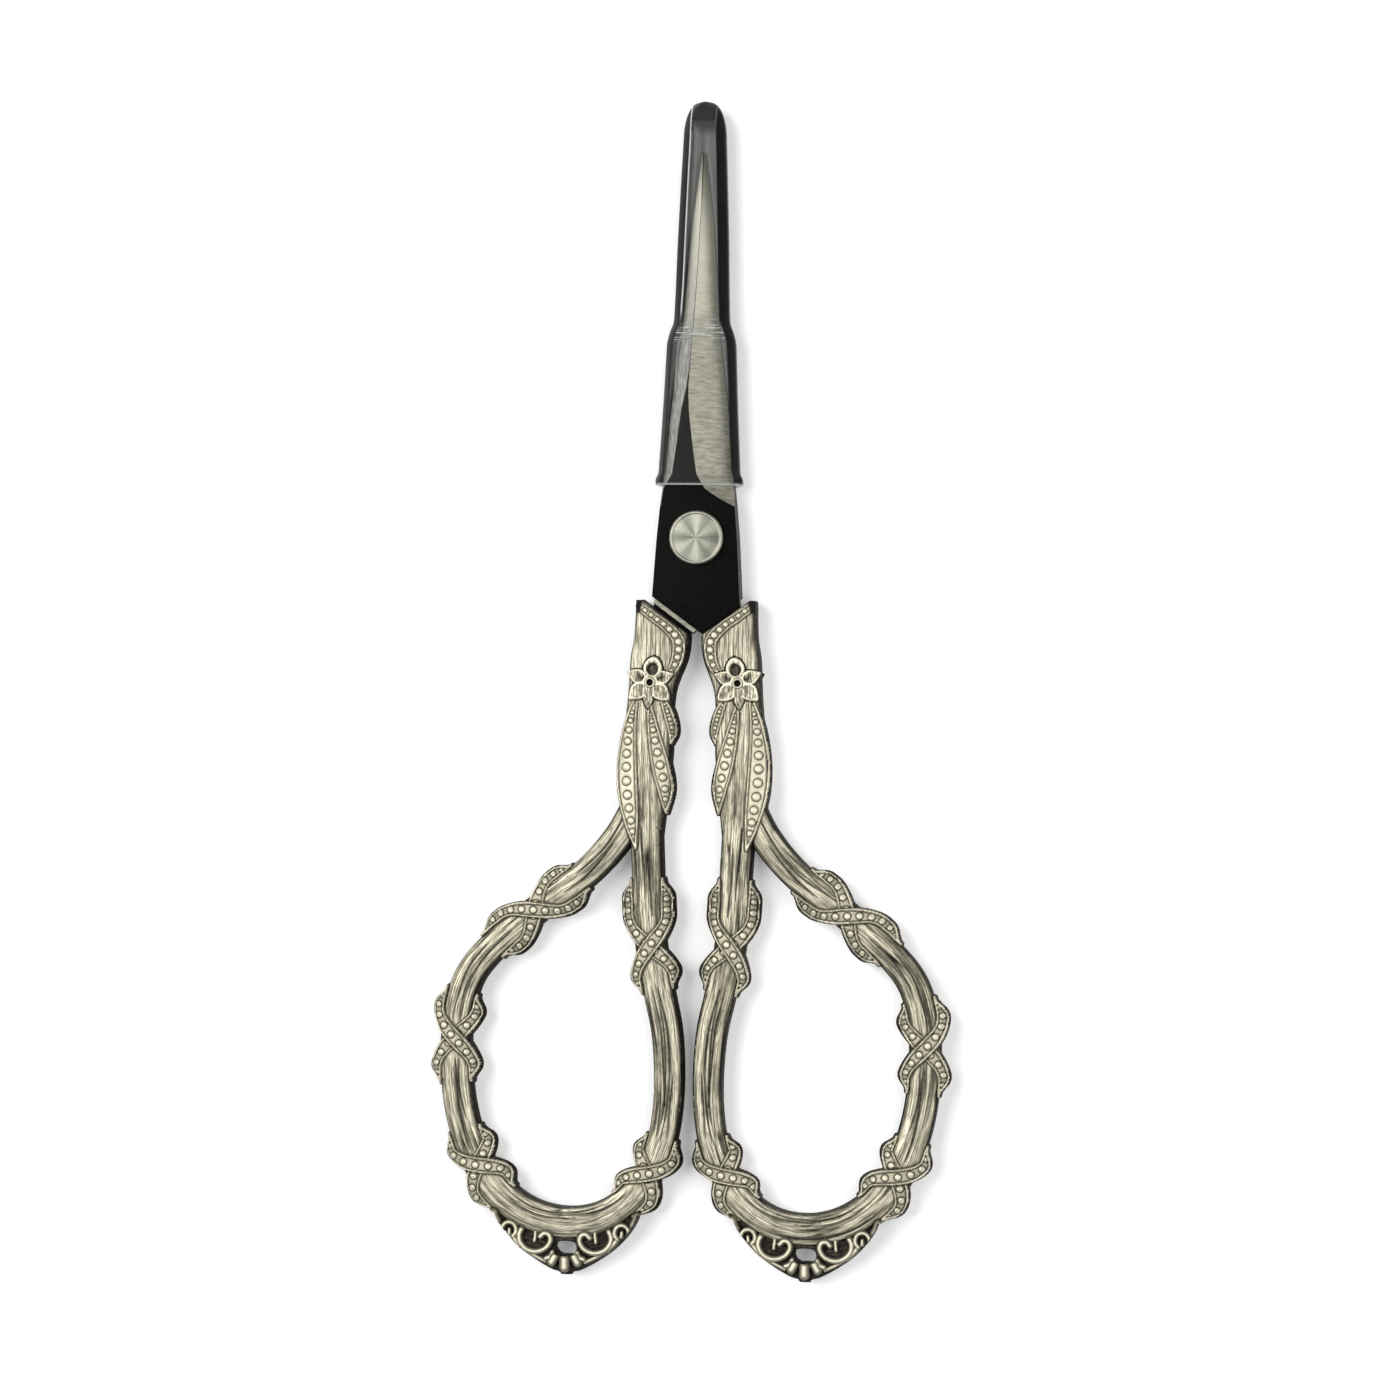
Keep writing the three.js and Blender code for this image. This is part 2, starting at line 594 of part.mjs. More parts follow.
// Guard: a soft clear sleeve with a shoulder, open at its lipped mouth and domed at its tip.
// Room is what the cavity leaves beside the blade, as a share of its room at the tip; share is the way there.
const GUARD_STATIONS = [
  { share: 0.04, room: 0.163 },
  { share: 0.23, room: 0.388 },
  { share: 0.37, room: 0.72 },
  { share: 0.4, room: 0.625 },
  { share: 0.43, room: 0.406 },
  { share: 0.48, room: 0.438 },
  { share: 0.74, room: 0.78 },
  { share: 0.9, room: 1 },
];
const guardY = (share) => THREE.MathUtils.lerp(GUARD_MOUTH_Y, GUARD_REACH, share);
const cavityHalfWidth = ({ share, room }) =>
  bladeHalfWidth(Math.min(guardY(share), BLADE_REACH)) + room * GUARD_TIP_ROOM;

function roundedRectangle(halfWidth, halfHeight, radius, y) {
  const steps = 3;
  const corner = Math.min(radius, 0.95 * halfWidth, 0.95 * halfHeight);
  const loop = [];
  for (let quarter = 0; quarter < 4; quarter++) {
    const cx = (halfWidth - corner) * (quarter % 3 === 0 ? 1 : -1);
    const cz = (halfHeight - corner) * (quarter < 2 ? 1 : -1);
    for (let i = 0; i <= steps; i++) {
      const angle = (Math.PI / 2) * (quarter + i / steps);
      loop.push(new THREE.Vector3(cx + corner * Math.cos(angle), y, cz + corner * Math.sin(angle)));
    }
  }
  return loop.reverse();
}

function guard() {
  const outer = (half, height, y) => roundedRectangle(half, height, GUARD_CORNER_RADIUS, y);
  const mouthHalf = cavityHalfWidth(GUARD_STATIONS[0]) + GUARD_WALL;
  const lastHalf = cavityHalfWidth(GUARD_STATIONS[GUARD_STATIONS.length - 1]) + GUARD_WALL;
  const outerLoops = [
    outer(mouthHalf + GUARD_LIP_WIDTH, GUARD_HALF_THICKNESS, GUARD_MOUTH_Y),
    outer(mouthHalf + GUARD_LIP_WIDTH, GUARD_HALF_THICKNESS, GUARD_MOUTH_Y + GUARD_LIP_HEIGHT),
  ];
  for (const station of GUARD_STATIONS) {
    const half = cavityHalfWidth(station) + GUARD_WALL;
    outerLoops.push(outer(half, GUARD_HALF_THICKNESS, guardY(station.share)));
  }
  // The nose rounds off over the solid tip.
  const noseStart = guardY(GUARD_STATIONS[GUARD_STATIONS.length - 1].share);
  for (const turn of [0.55, 0.85, 1]) {
    const y = THREE.MathUtils.lerp(noseStart, GUARD_REACH, turn);
    const narrowing = Math.sqrt(1 - turn * turn);
    const half = Math.max(GUARD_NOSE_HALF_WIDTH, lastHalf * narrowing);
    outerLoops.push(outer(half, Math.max(GUARD_NOSE_HALF_WIDTH, GUARD_HALF_THICKNESS * narrowing), y));
  }
  const inner = (half, y) =>
    roundedRectangle(half, GUARD_HALF_THICKNESS - GUARD_WALL, GUARD_CORNER_RADIUS - GUARD_WALL, y);
  const innerLoops = [inner(mouthHalf - GUARD_WALL, GUARD_MOUTH_Y - CUT_MARGIN)];
  for (const station of GUARD_STATIONS.slice(0, -1)) {
    innerLoops.push(inner(cavityHalfWidth(station), guardY(station.share)));
  }
  innerLoops.push(inner(lastHalf - GUARD_WALL, GUARD_CAVITY_END));
  return loft(outerLoops).subtract(loft(innerLoops));
}

// Finishes.

function finish(colour, roughness, metalness) {
  return new THREE.MeshStandardMaterial({ color: new THREE.Color(colour), roughness, metalness });
}
const antiqueSilver = finish(0xa9a48f, 0.38, 1);
const blackedSteel = finish(0x161614, 0.3, 0.9);
const brightSteel = finish(0xc9cbbd, 0.25, 1);
const clearVinyl = finish(0x3a3d3c, 0.12, 0);
clearVinyl.transparent = true;
clearVinyl.opacity = 0.35;

// Assembly.

function named(name, geometry, material) {
  const mesh = new THREE.Mesh(geometry, material);
  mesh.name = name;
  return mesh;
}

function turnedOver(mesh) {
  mesh.scale.z = -1;
  return mesh;
}

const plainHalf = halfCasting();
const plainGeometry = geometryOf(plainHalf);
const channelledGeometry = geometryOf(plainHalf.subtract(tangChannel()));
const bladeGeometry = geometryOf(blade());
const flowerGeometry = geometryOf(flower());

// One half of the scissors. The casting on the blade's own side carries the tang's channel.
function half(bladeName, handle, bladeSide, otherSide) {
  const group = new THREE.Group();
  group.add(
    named(bladeName, bladeGeometry, blackedSteel),
    named(`${handle}_handle_${bladeSide}`, channelledGeometry, antiqueSilver),
    turnedOver(named(`${handle}_handle_${otherSide}`, plainGeometry, antiqueSilver)),
    named(`${handle}_flower_${bladeSide}`, flowerGeometry, antiqueSilver),
    turnedOver(named(`${handle}_flower_${otherSide}`, flowerGeometry, antiqueSilver)),
    named(`${handle}_tang_rivet`, rivet(), antiqueSilver),
  );
  return group;
}

const upperHalf = half("upper_blade", "right", "front", "back");
const lowerHalf = half("lower_blade", "left", "back", "front");
lowerHalf.rotation.y = Math.PI;

const scissors = new THREE.Group();
scissors.add(
  upperHalf,
  lowerHalf,
  named("pivot_screw", pivotScrew(), brightSteel),
  named("pivot_nut", pivotNut(), brightSteel),
  named("blade_guard", geometryOf(guard()), clearVinyl),
);
// The origin is the middle of the footprint on the table.
const lowest = Math.max(HANDLE_HALF_THICKNESS, GUARD_HALF_THICKNESS);
scissors.position.set(0, (BOW_REACH - GUARD_REACH) / 2, lowest);

const part = new THREE.Group();
part.add(scissors);
export default part;
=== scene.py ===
import math
import bmesh
import bpy
import numpy as np
from mathutils import Matrix, Vector
from mathutils.geometry import delaunay_2d_cdt


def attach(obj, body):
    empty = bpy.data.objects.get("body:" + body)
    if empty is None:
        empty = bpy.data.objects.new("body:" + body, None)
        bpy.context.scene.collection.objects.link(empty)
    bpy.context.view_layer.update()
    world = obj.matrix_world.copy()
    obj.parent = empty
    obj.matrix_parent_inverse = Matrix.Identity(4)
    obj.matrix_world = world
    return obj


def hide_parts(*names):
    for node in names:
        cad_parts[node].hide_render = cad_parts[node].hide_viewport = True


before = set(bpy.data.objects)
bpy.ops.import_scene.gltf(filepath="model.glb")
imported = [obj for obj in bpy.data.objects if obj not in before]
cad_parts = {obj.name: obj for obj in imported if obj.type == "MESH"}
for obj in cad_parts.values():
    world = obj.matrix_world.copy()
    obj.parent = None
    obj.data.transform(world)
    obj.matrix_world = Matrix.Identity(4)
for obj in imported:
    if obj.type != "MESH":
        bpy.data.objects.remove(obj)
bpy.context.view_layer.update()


# Blades: two forged steel blades, blackened on the flats and ground bright on the bevel, the spine
# chamfer and the inner face. Below the pivot each one narrows to a tang that its handle closes over.
PIVOT_IN_FRAME = np.array([0.0, 16.15, 2.2])
BLADE_INNER = 0.03
BLADE_OUTER = 1.43
BLADE_REACH = 42.6
BEVEL_TAIL = 3.5
EDGE_THICKNESS = 0.12
SPINE_DROP = 0.16
TIP_THINNING = 0.6
THINNING_START = 0.4
# Reach from the pivot and half width there.
BLADE_HALF_WIDTHS = [
    (BEVEL_TAIL, 4.13), (8.2, 3.6), (14.1, 3.08), (22.3, 2.05), (28.1, 1.62), (34.8, 1.08),
    (BLADE_REACH, 0.2),
]
# Share of the way to the tip, ridge and edge of the ground bevel, growth of the spine chamfer.
GRIND = [
    (0.0, 0.985, 0.95, 0.08), (0.02, 0.62, 0.5, 0.08), (0.05, 0.2, 0.2, 0.12), (0.09, -0.04, 0.0, 0.85),
    (0.27, -0.36, 0.0, 1.12), (0.34, -0.44, 0.0, 1.36), (0.48, -0.42, 0.0, 1.18), (0.63, -0.3, 0.0, 1.12),
    (0.8, -0.2, 0.0, 0.86), (1.0, 0.0, 0.0, 0.6),
]
BUTT_POINT, BUTT_LEFT, BUTT_RIGHT = np.array([(0.72, -10.54), (-4.85, -6.49), (4.85, -7.54)])
# Share of the way from the butt's corners to the bevel, and half width there.
RICASSO_HALF_WIDTHS = [(0, 4.85), (0.65, 4.45), (1, 4.13)]
SHOULDER = math.radians(36)
BUTT_REACH = 8.95
BUTT_MARGIN = 0.34
TANG_OUTLINE = [(2.1, -8.7), (3.57, -12.95), (4.3, -25), (6.1, -25), (5.87, -12.95), (4.6, -6.9)]
TANG_TOP = 0.83
PIVOT_BORE = 1.6
RIVET_BORE = 0.7
RIVET_AT = np.array([4.84, -15.95])
# Where the painted light towards the tip begins and is full, along the frame's y in metres. It stands in for
# light that the sleeve's walls keep off the blade.
TIP_LIGHT_SPAN = (0.036, 0.054)
BLACKED = (0.0008, 0.0008, 0.0007, 1)
BLACKED_RUBBED = (0.004, 0.0039, 0.0034, 1)
# Colours of the ground bevel and the spine chamfer. The third colour of each set is painted light for the
# blade near the tip.
GROUND_LIGHT = (0.4, 0.388, 0.31, 1)
GROUND_DARK = (0.19, 0.186, 0.145, 1)
GROUND_TIP_LIT = (0.95, 0.93, 0.75, 1)
SPINE_LIGHT = (0.3, 0.29, 0.26, 1)
SPINE_DARK = (0.05, 0.049, 0.044, 1)
SPINE_TIP_LIT = (0.45, 0.44, 0.36, 1)


def lay_in_frame(name, points, faces):
    """A piece drawn in millimetres from the pivot axis, put in the part's frame in metres."""
    mesh = bpy.data.meshes.new(name)
    mesh.from_pydata(((np.asarray(points, float) + PIVOT_IN_FRAME) * 0.001).tolist(), [], faces)
    piece = bpy.data.objects.new(name, mesh)
    bpy.context.scene.collection.objects.link(piece)
    return piece


def smooth_line(points, count):
    """Even samples along a smooth curve through the points."""
    p = np.array(points, float)
    p = np.vstack([2 * p[0] - p[1], p, 2 * p[-1] - p[-2]])
    runs = []
    for i in range(1, len(p) - 2):
        a, b, c, d = p[i - 1:i + 3]
        k = np.cumsum([0] + [np.linalg.norm(q - r) ** 0.5 for q, r in ((b, a), (c, b), (d, c))])
        t = np.linspace(k[1], k[2], 40, endpoint=False)[:, None]

        def mixed(low, high, first, second):
            return ((k[high] - t) * first + (t - k[low]) * second) / (k[high] - k[low])

        ab, bc, cd = mixed(0, 1, a, b), mixed(1, 2, b, c), mixed(2, 3, c, d)
        runs.append(mixed(1, 2, mixed(0, 2, ab, bc), mixed(1, 3, bc, cd)))
    q = np.vstack(runs + [p[-2:-1]])
    run = np.r_[0, np.cumsum(np.linalg.norm(np.diff(q, axis=0), axis=1))]
    even = np.linspace(0, run[-1], count)
    return np.stack([np.interp(even, run, q[:, i]) for i in range(q.shape[1])], 1)


def eased(pairs):
    """A smooth reading of (place, value) pairs by place."""
    curve = smooth_line(pairs, 400)
    curve = curve[np.argsort(curve[:, 0])]
    return lambda place: np.interp(place, curve[:, 0], curve[:, 1])


def skinned(loops):
    """Points and faces of a closed skin over loops of equal length. The two end caps are the last faces."""
    count = len(loops[0])
    faces = []
    for row in range(len(loops) - 1):
        for j in range(count):
            a, b = row * count + j, row * count + (j + 1) % count
            faces.append((a, b, b + count, a + count))
    last = (len(loops) - 1) * count
    faces.append(tuple(range(count - 1, -1, -1)))
    faces.append(tuple(range(last, last + count)))
    return np.vstack(loops), faces


def carve(piece, tool, operation):
    """Joins a tool to a piece or cuts it away, and takes the tool off."""
    step = piece.modifiers.new("carve", "BOOLEAN")
    step.object, step.operation, step.solver = tool, operation, "EXACT"
    made = bpy.data.meshes.new_from_object(piece.evaluated_get(bpy.context.evaluated_depsgraph_get()))
    piece.modifiers.clear()
    piece.data = made
    bpy.data.objects.remove(tool)


def drill(piece, radius, x, y, count):
    """Bores an upright hole through a piece."""
    turn = np.linspace(0, 2 * np.pi, count, endpoint=False)
    ring = np.stack([x + radius * np.cos(turn), y + radius * np.sin(turn), 0 * turn], 1)
    carve(piece, lay_in_frame("bore", *skinned([ring + [0, 0, -1], ring + [0, 0, 3]])), "DIFFERENCE")


def set_inputs(tree, node, inputs):
    """Sets a node's inputs to values, or links them to other nodes."""
    for key, value in inputs.items():
        if isinstance(value, bpy.types.NodeSocket):
            tree.links.new(value, node.inputs[key])
        else:
            node.inputs[key].default_value = value


def add_node(tree, kind, inputs, **settings):
    """A shader node with its settings and inputs."""
    node = tree.nodes.new("ShaderNode" + kind)
    for key, value in settings.items():
        setattr(node, key, value)
    set_inputs(tree, node, inputs)
    return node


def new_finish(name):
    """A material, its node tree and its shader."""
    finish = bpy.data.materials.new(name)
    finish.use_nodes = True
    return finish, finish.node_tree, finish.node_tree.nodes["Principled BSDF"]


def place_on(tree):
    return add_node(tree, "TexCoord", {}).outputs["Object"]


def split(tree, place):
    return add_node(tree, "SeparateXYZ", {0: place}).outputs


def stretched(tree, scales):
    """Places on the piece, stretched so that a texture runs one way."""
    return add_node(tree, "Mapping", {"Vector": place_on(tree), "Scale": scales}).outputs[0]


def noise(tree, place, detail, **more):
    """A smooth random value at each place."""
    return add_node(tree, "TexNoise", {"Vector": place, "Detail": detail, **more}).outputs["Fac"]


def reckon(tree, operation, *values, **settings):
    """The result of one sum."""
    return add_node(tree, "Math", dict(enumerate(values)), operation=operation, **settings).outputs[0]


def mapped(tree, value, low, high, to_low, to_high):
    """A value from one range brought into another."""
    return add_node(tree, "MapRange", {"Value": value, 1: low, 2: high, 3: to_low, 4: to_high}).outputs[0]


def between(tree, share, first, second):
    """A colour between two colours, by a share."""
    return add_node(tree, "Mix", {"Factor": share, 6: first, 7: second}, data_type="RGBA").outputs[2]


def bumped(tree, height, strength, depth):
    inputs = {"Height": height, "Strength": strength, "Distance": depth}
    return add_node(tree, "Bump", inputs).outputs[0]


def tip_light_share(tree):
    """How far the painted light reaches, which grows towards the tip where the sleeve shades the blade."""
    return mapped(tree, split(tree, place_on(tree))[1], *TIP_LIGHT_SPAN, 0.0, 0.85)


blacked_steel, tree, shader = new_finish("blacked_steel")
smudge = noise(tree, stretched(tree, (900, 900, 900)), 4.0)
speck = noise(tree, stretched(tree, (9000, 5000, 9000)), 2.0)
set_inputs(tree, shader, {
    "Base Color": between(tree, mapped(tree, smudge, 0.35, 0.7, 0.0, 1.0), BLACKED, BLACKED_RUBBED),
    "Roughness": mapped(tree, smudge, 0.3, 0.7, 0.24, 0.4),
    "Specular IOR Level": 0.022,
    "Normal": bumped(tree, speck, 0.12, 0.00003),
})

ground_steel, tree, shader = new_finish("ground_steel")
strokes = noise(tree, stretched(tree, (260, 5200, 260)), 5.0)
bands = noise(tree, stretched(tree, (160, 700, 160)), 2.0)
cut_marks = mapped(tree, reckon(tree, "ADD", strokes, bands), 0.75, 1.25, 0.0, 1.0)
ground = between(tree, cut_marks, GROUND_DARK, GROUND_LIGHT)
set_inputs(tree, shader, {
    "Base Color": between(tree, tip_light_share(tree), ground, GROUND_TIP_LIT),
    "Roughness": mapped(tree, strokes, 0.3, 0.7, 0.42, 0.56),
    "Metallic": 0.65,
    "Normal": bumped(tree, strokes, 0.35, 0.00004),
})

spine_steel, tree, shader = new_finish("spine_steel")
strokes = noise(tree, stretched(tree, (3600, 160, 3600)), 5.0)
ground = between(tree, mapped(tree, strokes, 0.35, 0.65, 0.0, 1.0), SPINE_DARK, SPINE_LIGHT)
set_inputs(tree, shader, {
    "Base Color": between(tree, tip_light_share(tree), ground, SPINE_TIP_LIT),
    "Roughness": mapped(tree, strokes, 0.3, 0.7, 0.4, 0.55),
    "Metallic": 0.65,
})


def blade_row(left, right, ridge, edge, chamfer, outer=BLADE_OUTER):
    """One section of a blade, between its spine and its cutting edge."""
    left, right = np.array(left, float), np.array(right, float)
    half = np.linalg.norm(right - left) / 2
    grown = chamfer * min(1.0, half)
    ridge_x = max(ridge * half, 0.06 - half)
    flat_x = min(grown - half, ridge_x - EDGE_THICKNESS / 2)
    edge_z = BLADE_INNER + EDGE_THICKNESS + edge * (outer - BLADE_INNER - EDGE_THICKNESS)
    across = np.array([-half, -half, flat_x, ridge_x, half, half])
    heights = [BLADE_INNER, outer - SPINE_DROP * chamfer, outer, outer, edge_z, BLADE_INNER]
    flat = (left + right) / 2 + (right - left) / (2 * half) * across[:, None]
    return np.column_stack([flat, heights])


def shoulder_reach(x, y):
    """How far a place lies from the pivot, square to the slanted shoulder."""
    return x * math.sin(SHOULDER) - y * math.cos(SHOULDER)


blade_half = eased(BLADE_HALF_WIDTHS)
grind = np.array(GRIND)
unground = GRIND[0][1:]
rows = []
for t in (0.01, 0.15, 0.4, 0.7, 1.0):
    left, right = (BUTT_POINT + t * (corner - BUTT_POINT) for corner in (BUTT_LEFT, BUTT_RIGHT))
    rows.append(blade_row(left, right, *unground))
for t in np.linspace(0.1, 1, 10):
    half = np.interp(t, *zip(*RICASSO_HALF_WIDTHS))
    left_y, right_y = (y + t * (BEVEL_TAIL - y) for y in (BUTT_LEFT[1], BUTT_RIGHT[1]))
    rows.append(blade_row((-half, left_y), (half, right_y), *unground))
for share in np.linspace(0, 1, 130)[1:] ** 1.5:
    y = BEVEL_TAIL + share * (BLADE_REACH - BEVEL_TAIL)
    half = float(blade_half(y))
    ridge, edge, chamfer = (float(np.interp(share, grind[:, 0], grind[:, i])) for i in (1, 2, 3))
    thinned = TIP_THINNING * np.clip((share - THINNING_START) / (1 - THINNING_START), 0, 1) ** 1.3
    rows.append(blade_row((-half, y), (half, y), ridge, edge, chamfer, BLADE_OUTER - thinned))
upper_blade = lay_in_frame("blade_upper", *skinned([row[::-1] for row in rows]))
tang = np.column_stack([np.array(TANG_OUTLINE), np.zeros(len(TANG_OUTLINE))])
tang_bar = lay_in_frame("tang", *skinned([tang + [0, 0, BLADE_INNER], tang + [0, 0, TANG_TOP]]))
carve(upper_blade, tang_bar, "UNION")
drill(upper_blade, PIVOT_BORE, 0, 0, 48)
drill(upper_blade, RIVET_BORE, *RIVET_AT, 32)
upper_blade.data.materials.clear()
for finish in (blacked_steel, ground_steel, spine_steel):
    upper_blade.data.materials.append(finish)
shape = bmesh.new()
shape.from_mesh(upper_blade.data)
plane = np.array([math.sin(SHOULDER), -math.cos(SHOULDER), 0])
bmesh.ops.bisect_plane(
    shape, geom=shape.verts[:] + shape.edges[:] + shape.faces[:], plane_no=plane, dist=1e-7,
    plane_co=(plane * (BUTT_REACH - BUTT_MARGIN) + PIVOT_IN_FRAME) * 0.001,
)
for face in shape.faces:
    x, y, z = np.array(face.calc_center_median()) * 1000 - PIVOT_IN_FRAME
    ground = y > BEVEL_TAIL - 0.02 and face.normal.z > 0.05 and abs(face.normal.x) > 0.06
    inner = face.normal.z < -0.9 and z < 0.1 and shoulder_reach(x, y) < BUTT_REACH - BUTT_MARGIN
    spine = ground and face.normal.x < 0
    face.material_index = 2 if spine else 1 if ground or inner else 0
    face.smooth = True
shape.to_mesh(upper_blade.data)
shape.free()
upper_blade.data.set_sharp_from_angle(angle=math.radians(12))

lower_blade = upper_blade.copy()
lower_blade.name = "blade_lower"
lower_blade.data = upper_blade.data.copy()
lower_blade.data.name = "blade_lower"
places = np.empty(len(lower_blade.data.vertices) * 3)
lower_blade.data.vertices.foreach_get("co", places)
places = places.reshape(-1, 3) * [-1, 1, -1] + [0, 0, 0.002 * PIVOT_IN_FRAME[2]]
lower_blade.data.vertices.foreach_set("co", places.ravel())
lower_blade.data.update()
bpy.context.scene.collection.objects.link(lower_blade)
for blade, body, node in (
    (upper_blade, "upper_half", "upper_blade"),
    (lower_blade, "lower_half", "lower_blade"),
):
    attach(blade, body)
    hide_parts(node)


# Pivot: a broad flat-headed steel screw, faced on the lathe so that its grain runs in rings, with painted
# sectors of sheen and a painted highlight on its turned edge. Both blades turn on its shoulder, and a round
# steel nut holds it from behind.
SCREW_PROFILE = [
    (0, -2.07), (1.1, -2.07), (1.2, -1.97), (1.2, -1.23), (1.5, -1.23), (1.5, 1.47), (2.9, 1.47),
    (3.0, 1.55), (3.0, 1.93), (2.96, 2.03), (2.87, 2.11), (2.76, 2.145), (2.66, 2.14), (2.6, 2.1),
    (2.55, 2.08), (2.48, 2.09), (1.2, 2.09), (0, 2.09),
]
NUT_PROFILE = [
    (1.3, -1.95), (1.36, -2.04), (1.5, -2.09), (2.3, -2.09), (2.42, -2.05), (2.55, -1.95), (2.6, -1.8),
    (2.6, -1.55), (2.5, -1.47), (1.3, -1.47),
]
RINGS_PER_METRE = 14000.0
# Number of painted sectors of sheen round the face.
SHEEN_LOBES = 6.0
# Radii in metres between which the face passes into the painted highlight on its turned edge.
EDGE_HIGHLIGHT_RADII = (0.00255, 0.0027)
STEEL_LIGHT = (0.3, 0.297, 0.24, 1)
STEEL_DARK = (0.12, 0.122, 0.104, 1)


def turned(profile, count, closed):
    """Points and faces of a turned piece, from (radius, height) pairs."""
    turn = np.linspace(0, 2 * np.pi, count, endpoint=False)
    points, rings, faces = [], [], []
    for radius, height in profile:
        if radius == 0:
            rings.append([len(points)] * count)
            points.append((0, 0, height))
            continue
        rings.append(list(range(len(points), len(points) + count)))
        points += [(radius * math.cos(a), radius * math.sin(a), height) for a in turn]
    for low, high in zip(rings, rings[1:] + (rings[:1] if closed else [])):
        for j in range(count):
            k = (j + 1) % count
            faces.append(tuple(dict.fromkeys([low[j], low[k], high[k], high[j]])))
    return np.array(points), faces


def soften(piece, degrees):
    """Shades a piece smooth, apart from edges sharper than an angle."""
    for face in piece.data.polygons:
        face.use_smooth = True
    piece.data.set_sharp_from_angle(angle=math.radians(degrees))


def joined(tree, x, y, z):
    return add_node(tree, "CombineXYZ", {0: x, 1: y, 2: z}).outputs[0]


turned_steel, tree, shader = new_finish("turned_steel")
axis = tuple(PIVOT_IN_FRAME * 0.001)
from_axis = add_node(tree, "VectorMath", {0: place_on(tree), 1: axis}, operation="SUBTRACT").outputs[0]
x, y, _ = split(tree, from_axis)
radius = reckon(tree, "SQRT", reckon(tree, "MULTIPLY_ADD", y, y, reckon(tree, "MULTIPLY", x, x)))
angle = reckon(tree, "ARCTAN2", y, x)
ring_place = reckon(tree, "MULTIPLY", radius, RINGS_PER_METRE)
rings = noise(tree, joined(tree, ring_place, angle, 0.0), 3.0, Scale=1.0)
# Lobes and rays paint the light and dark sectors that light makes on a turned face; the rings are the face's
# own grain.
sheen_lobes = reckon(tree, "COSINE", reckon(tree, "MULTIPLY", angle, SHEEN_LOBES))
sheen_rays = noise(tree, joined(tree, 0.0, angle, 0.0), 2.0, Scale=9.0)
tone = reckon(tree, "MULTIPLY_ADD", sheen_lobes, -0.28, rings)
tone = reckon(tree, "MULTIPLY_ADD", sheen_rays, 0.6, tone)
tone = reckon(tree, "ADD", tone, mapped(tree, radius, *EDGE_HIGHLIGHT_RADII, 0.0, 0.5))
set_inputs(tree, shader, {
    "Base Color": between(tree, mapped(tree, tone, 0.4, 1.2, 0.0, 1.0), STEEL_DARK, STEEL_LIGHT),
    "Roughness": mapped(tree, rings, 0.3, 0.7, 0.36, 0.5),
    "Metallic": 1.0,
    "Anisotropic": 0.45,
    "Tangent": add_node(tree, "Tangent", {}, direction_type="RADIAL", axis="Z").outputs[0],
    "Normal": bumped(tree, rings, 0.12, 0.00003),
})

for name, profile, closed, node in (
    ("pivot_screw_turned", SCREW_PROFILE, False, "pivot_screw"),
    ("pivot_nut_turned", NUT_PROFILE, True, "pivot_nut"),
):
    piece = lay_in_frame(name, *turned(profile, 96, closed))
    piece.data.materials.append(turned_steel)
    soften(piece, 32)
    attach(piece, "lower_half")
    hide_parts(node)


# Handles: each is a front and a back half casting in silver-plated alloy, darkened in its hollows and
# rubbed bright on its rims. Grained arms carry crossed ribbons with pearls, and a pierced crest below.
CELL = 0.085
SEAM = 0.05
WALL_FLARE = 0.1
FLARE_ROOM = 0.12
ARM_CREST = 1.62
ARM_WALL = 1.15
SHANK_CREST = 1.72
SHANK_WALL = 1.3
SHANK_CROWN = 2.6
SHANK_LOW = -33.0
SHANK_TOP = -6.9
CASTING_REACH = 9.1
FORK = -32
FURROW_DEPTH = 0.035
CREASE_DEPTH = 0.06
RIBBON_FOOT = 0.35
RIBBON_LOW_LIFT = 0.04
RIBBON_TOP_LIFT = 0.2
TAIL_FOOT = 0.8
WIRE_FOOT = 0.8
TOP_LIMIT = 2.19
SEAT_LEVEL = 1.35
SEAT_ROOM = 0.1
BOW_POINTS = [
    (5.3, -28), (5.1, -33), (4.9, -37), (4.75, -41), (4.35, -45.2), (3.4, -50), (2.55, -54), (2.2, -58.5),
    (2.3, -62.5), (2.85, -66), (4.15, -69.4), (6.3, -72.5), (9.4, -74.6), (13.2, -75.3), (17, -74.6),
    (20.3, -72.6), (22.8, -69.6), (24.4, -66.2), (25.5, -62), (25.95, -56.5), (25.65, -52), (24.4, -48.2),
    (21.5, -44.7), (17.1, -41), (11.6, -36.8), (8.2, -32.9), (6, -29),
]
# Share along the arms and half width there.
ARM_HALF_WIDTHS = [(0, 1.8), (0.2, 1.7), (0.34, 1.6), (0.5, 1.8), (0.72, 1.7), (0.86, 1.6), (1, 1.7)]
# Height on the shank, its middle and its half width there.
SHANK_STATIONS = [
    (-36, 5.95, 2.3), (-32.5, 5.8, 2.5), (-24, 5.2, 2.75), (-16.9, 4.8, 2.6), (-13.1, 4.05, 3.15),
    (-10.9, 3.75, 3.1), (-6.9, 3.75, 2.95),
]
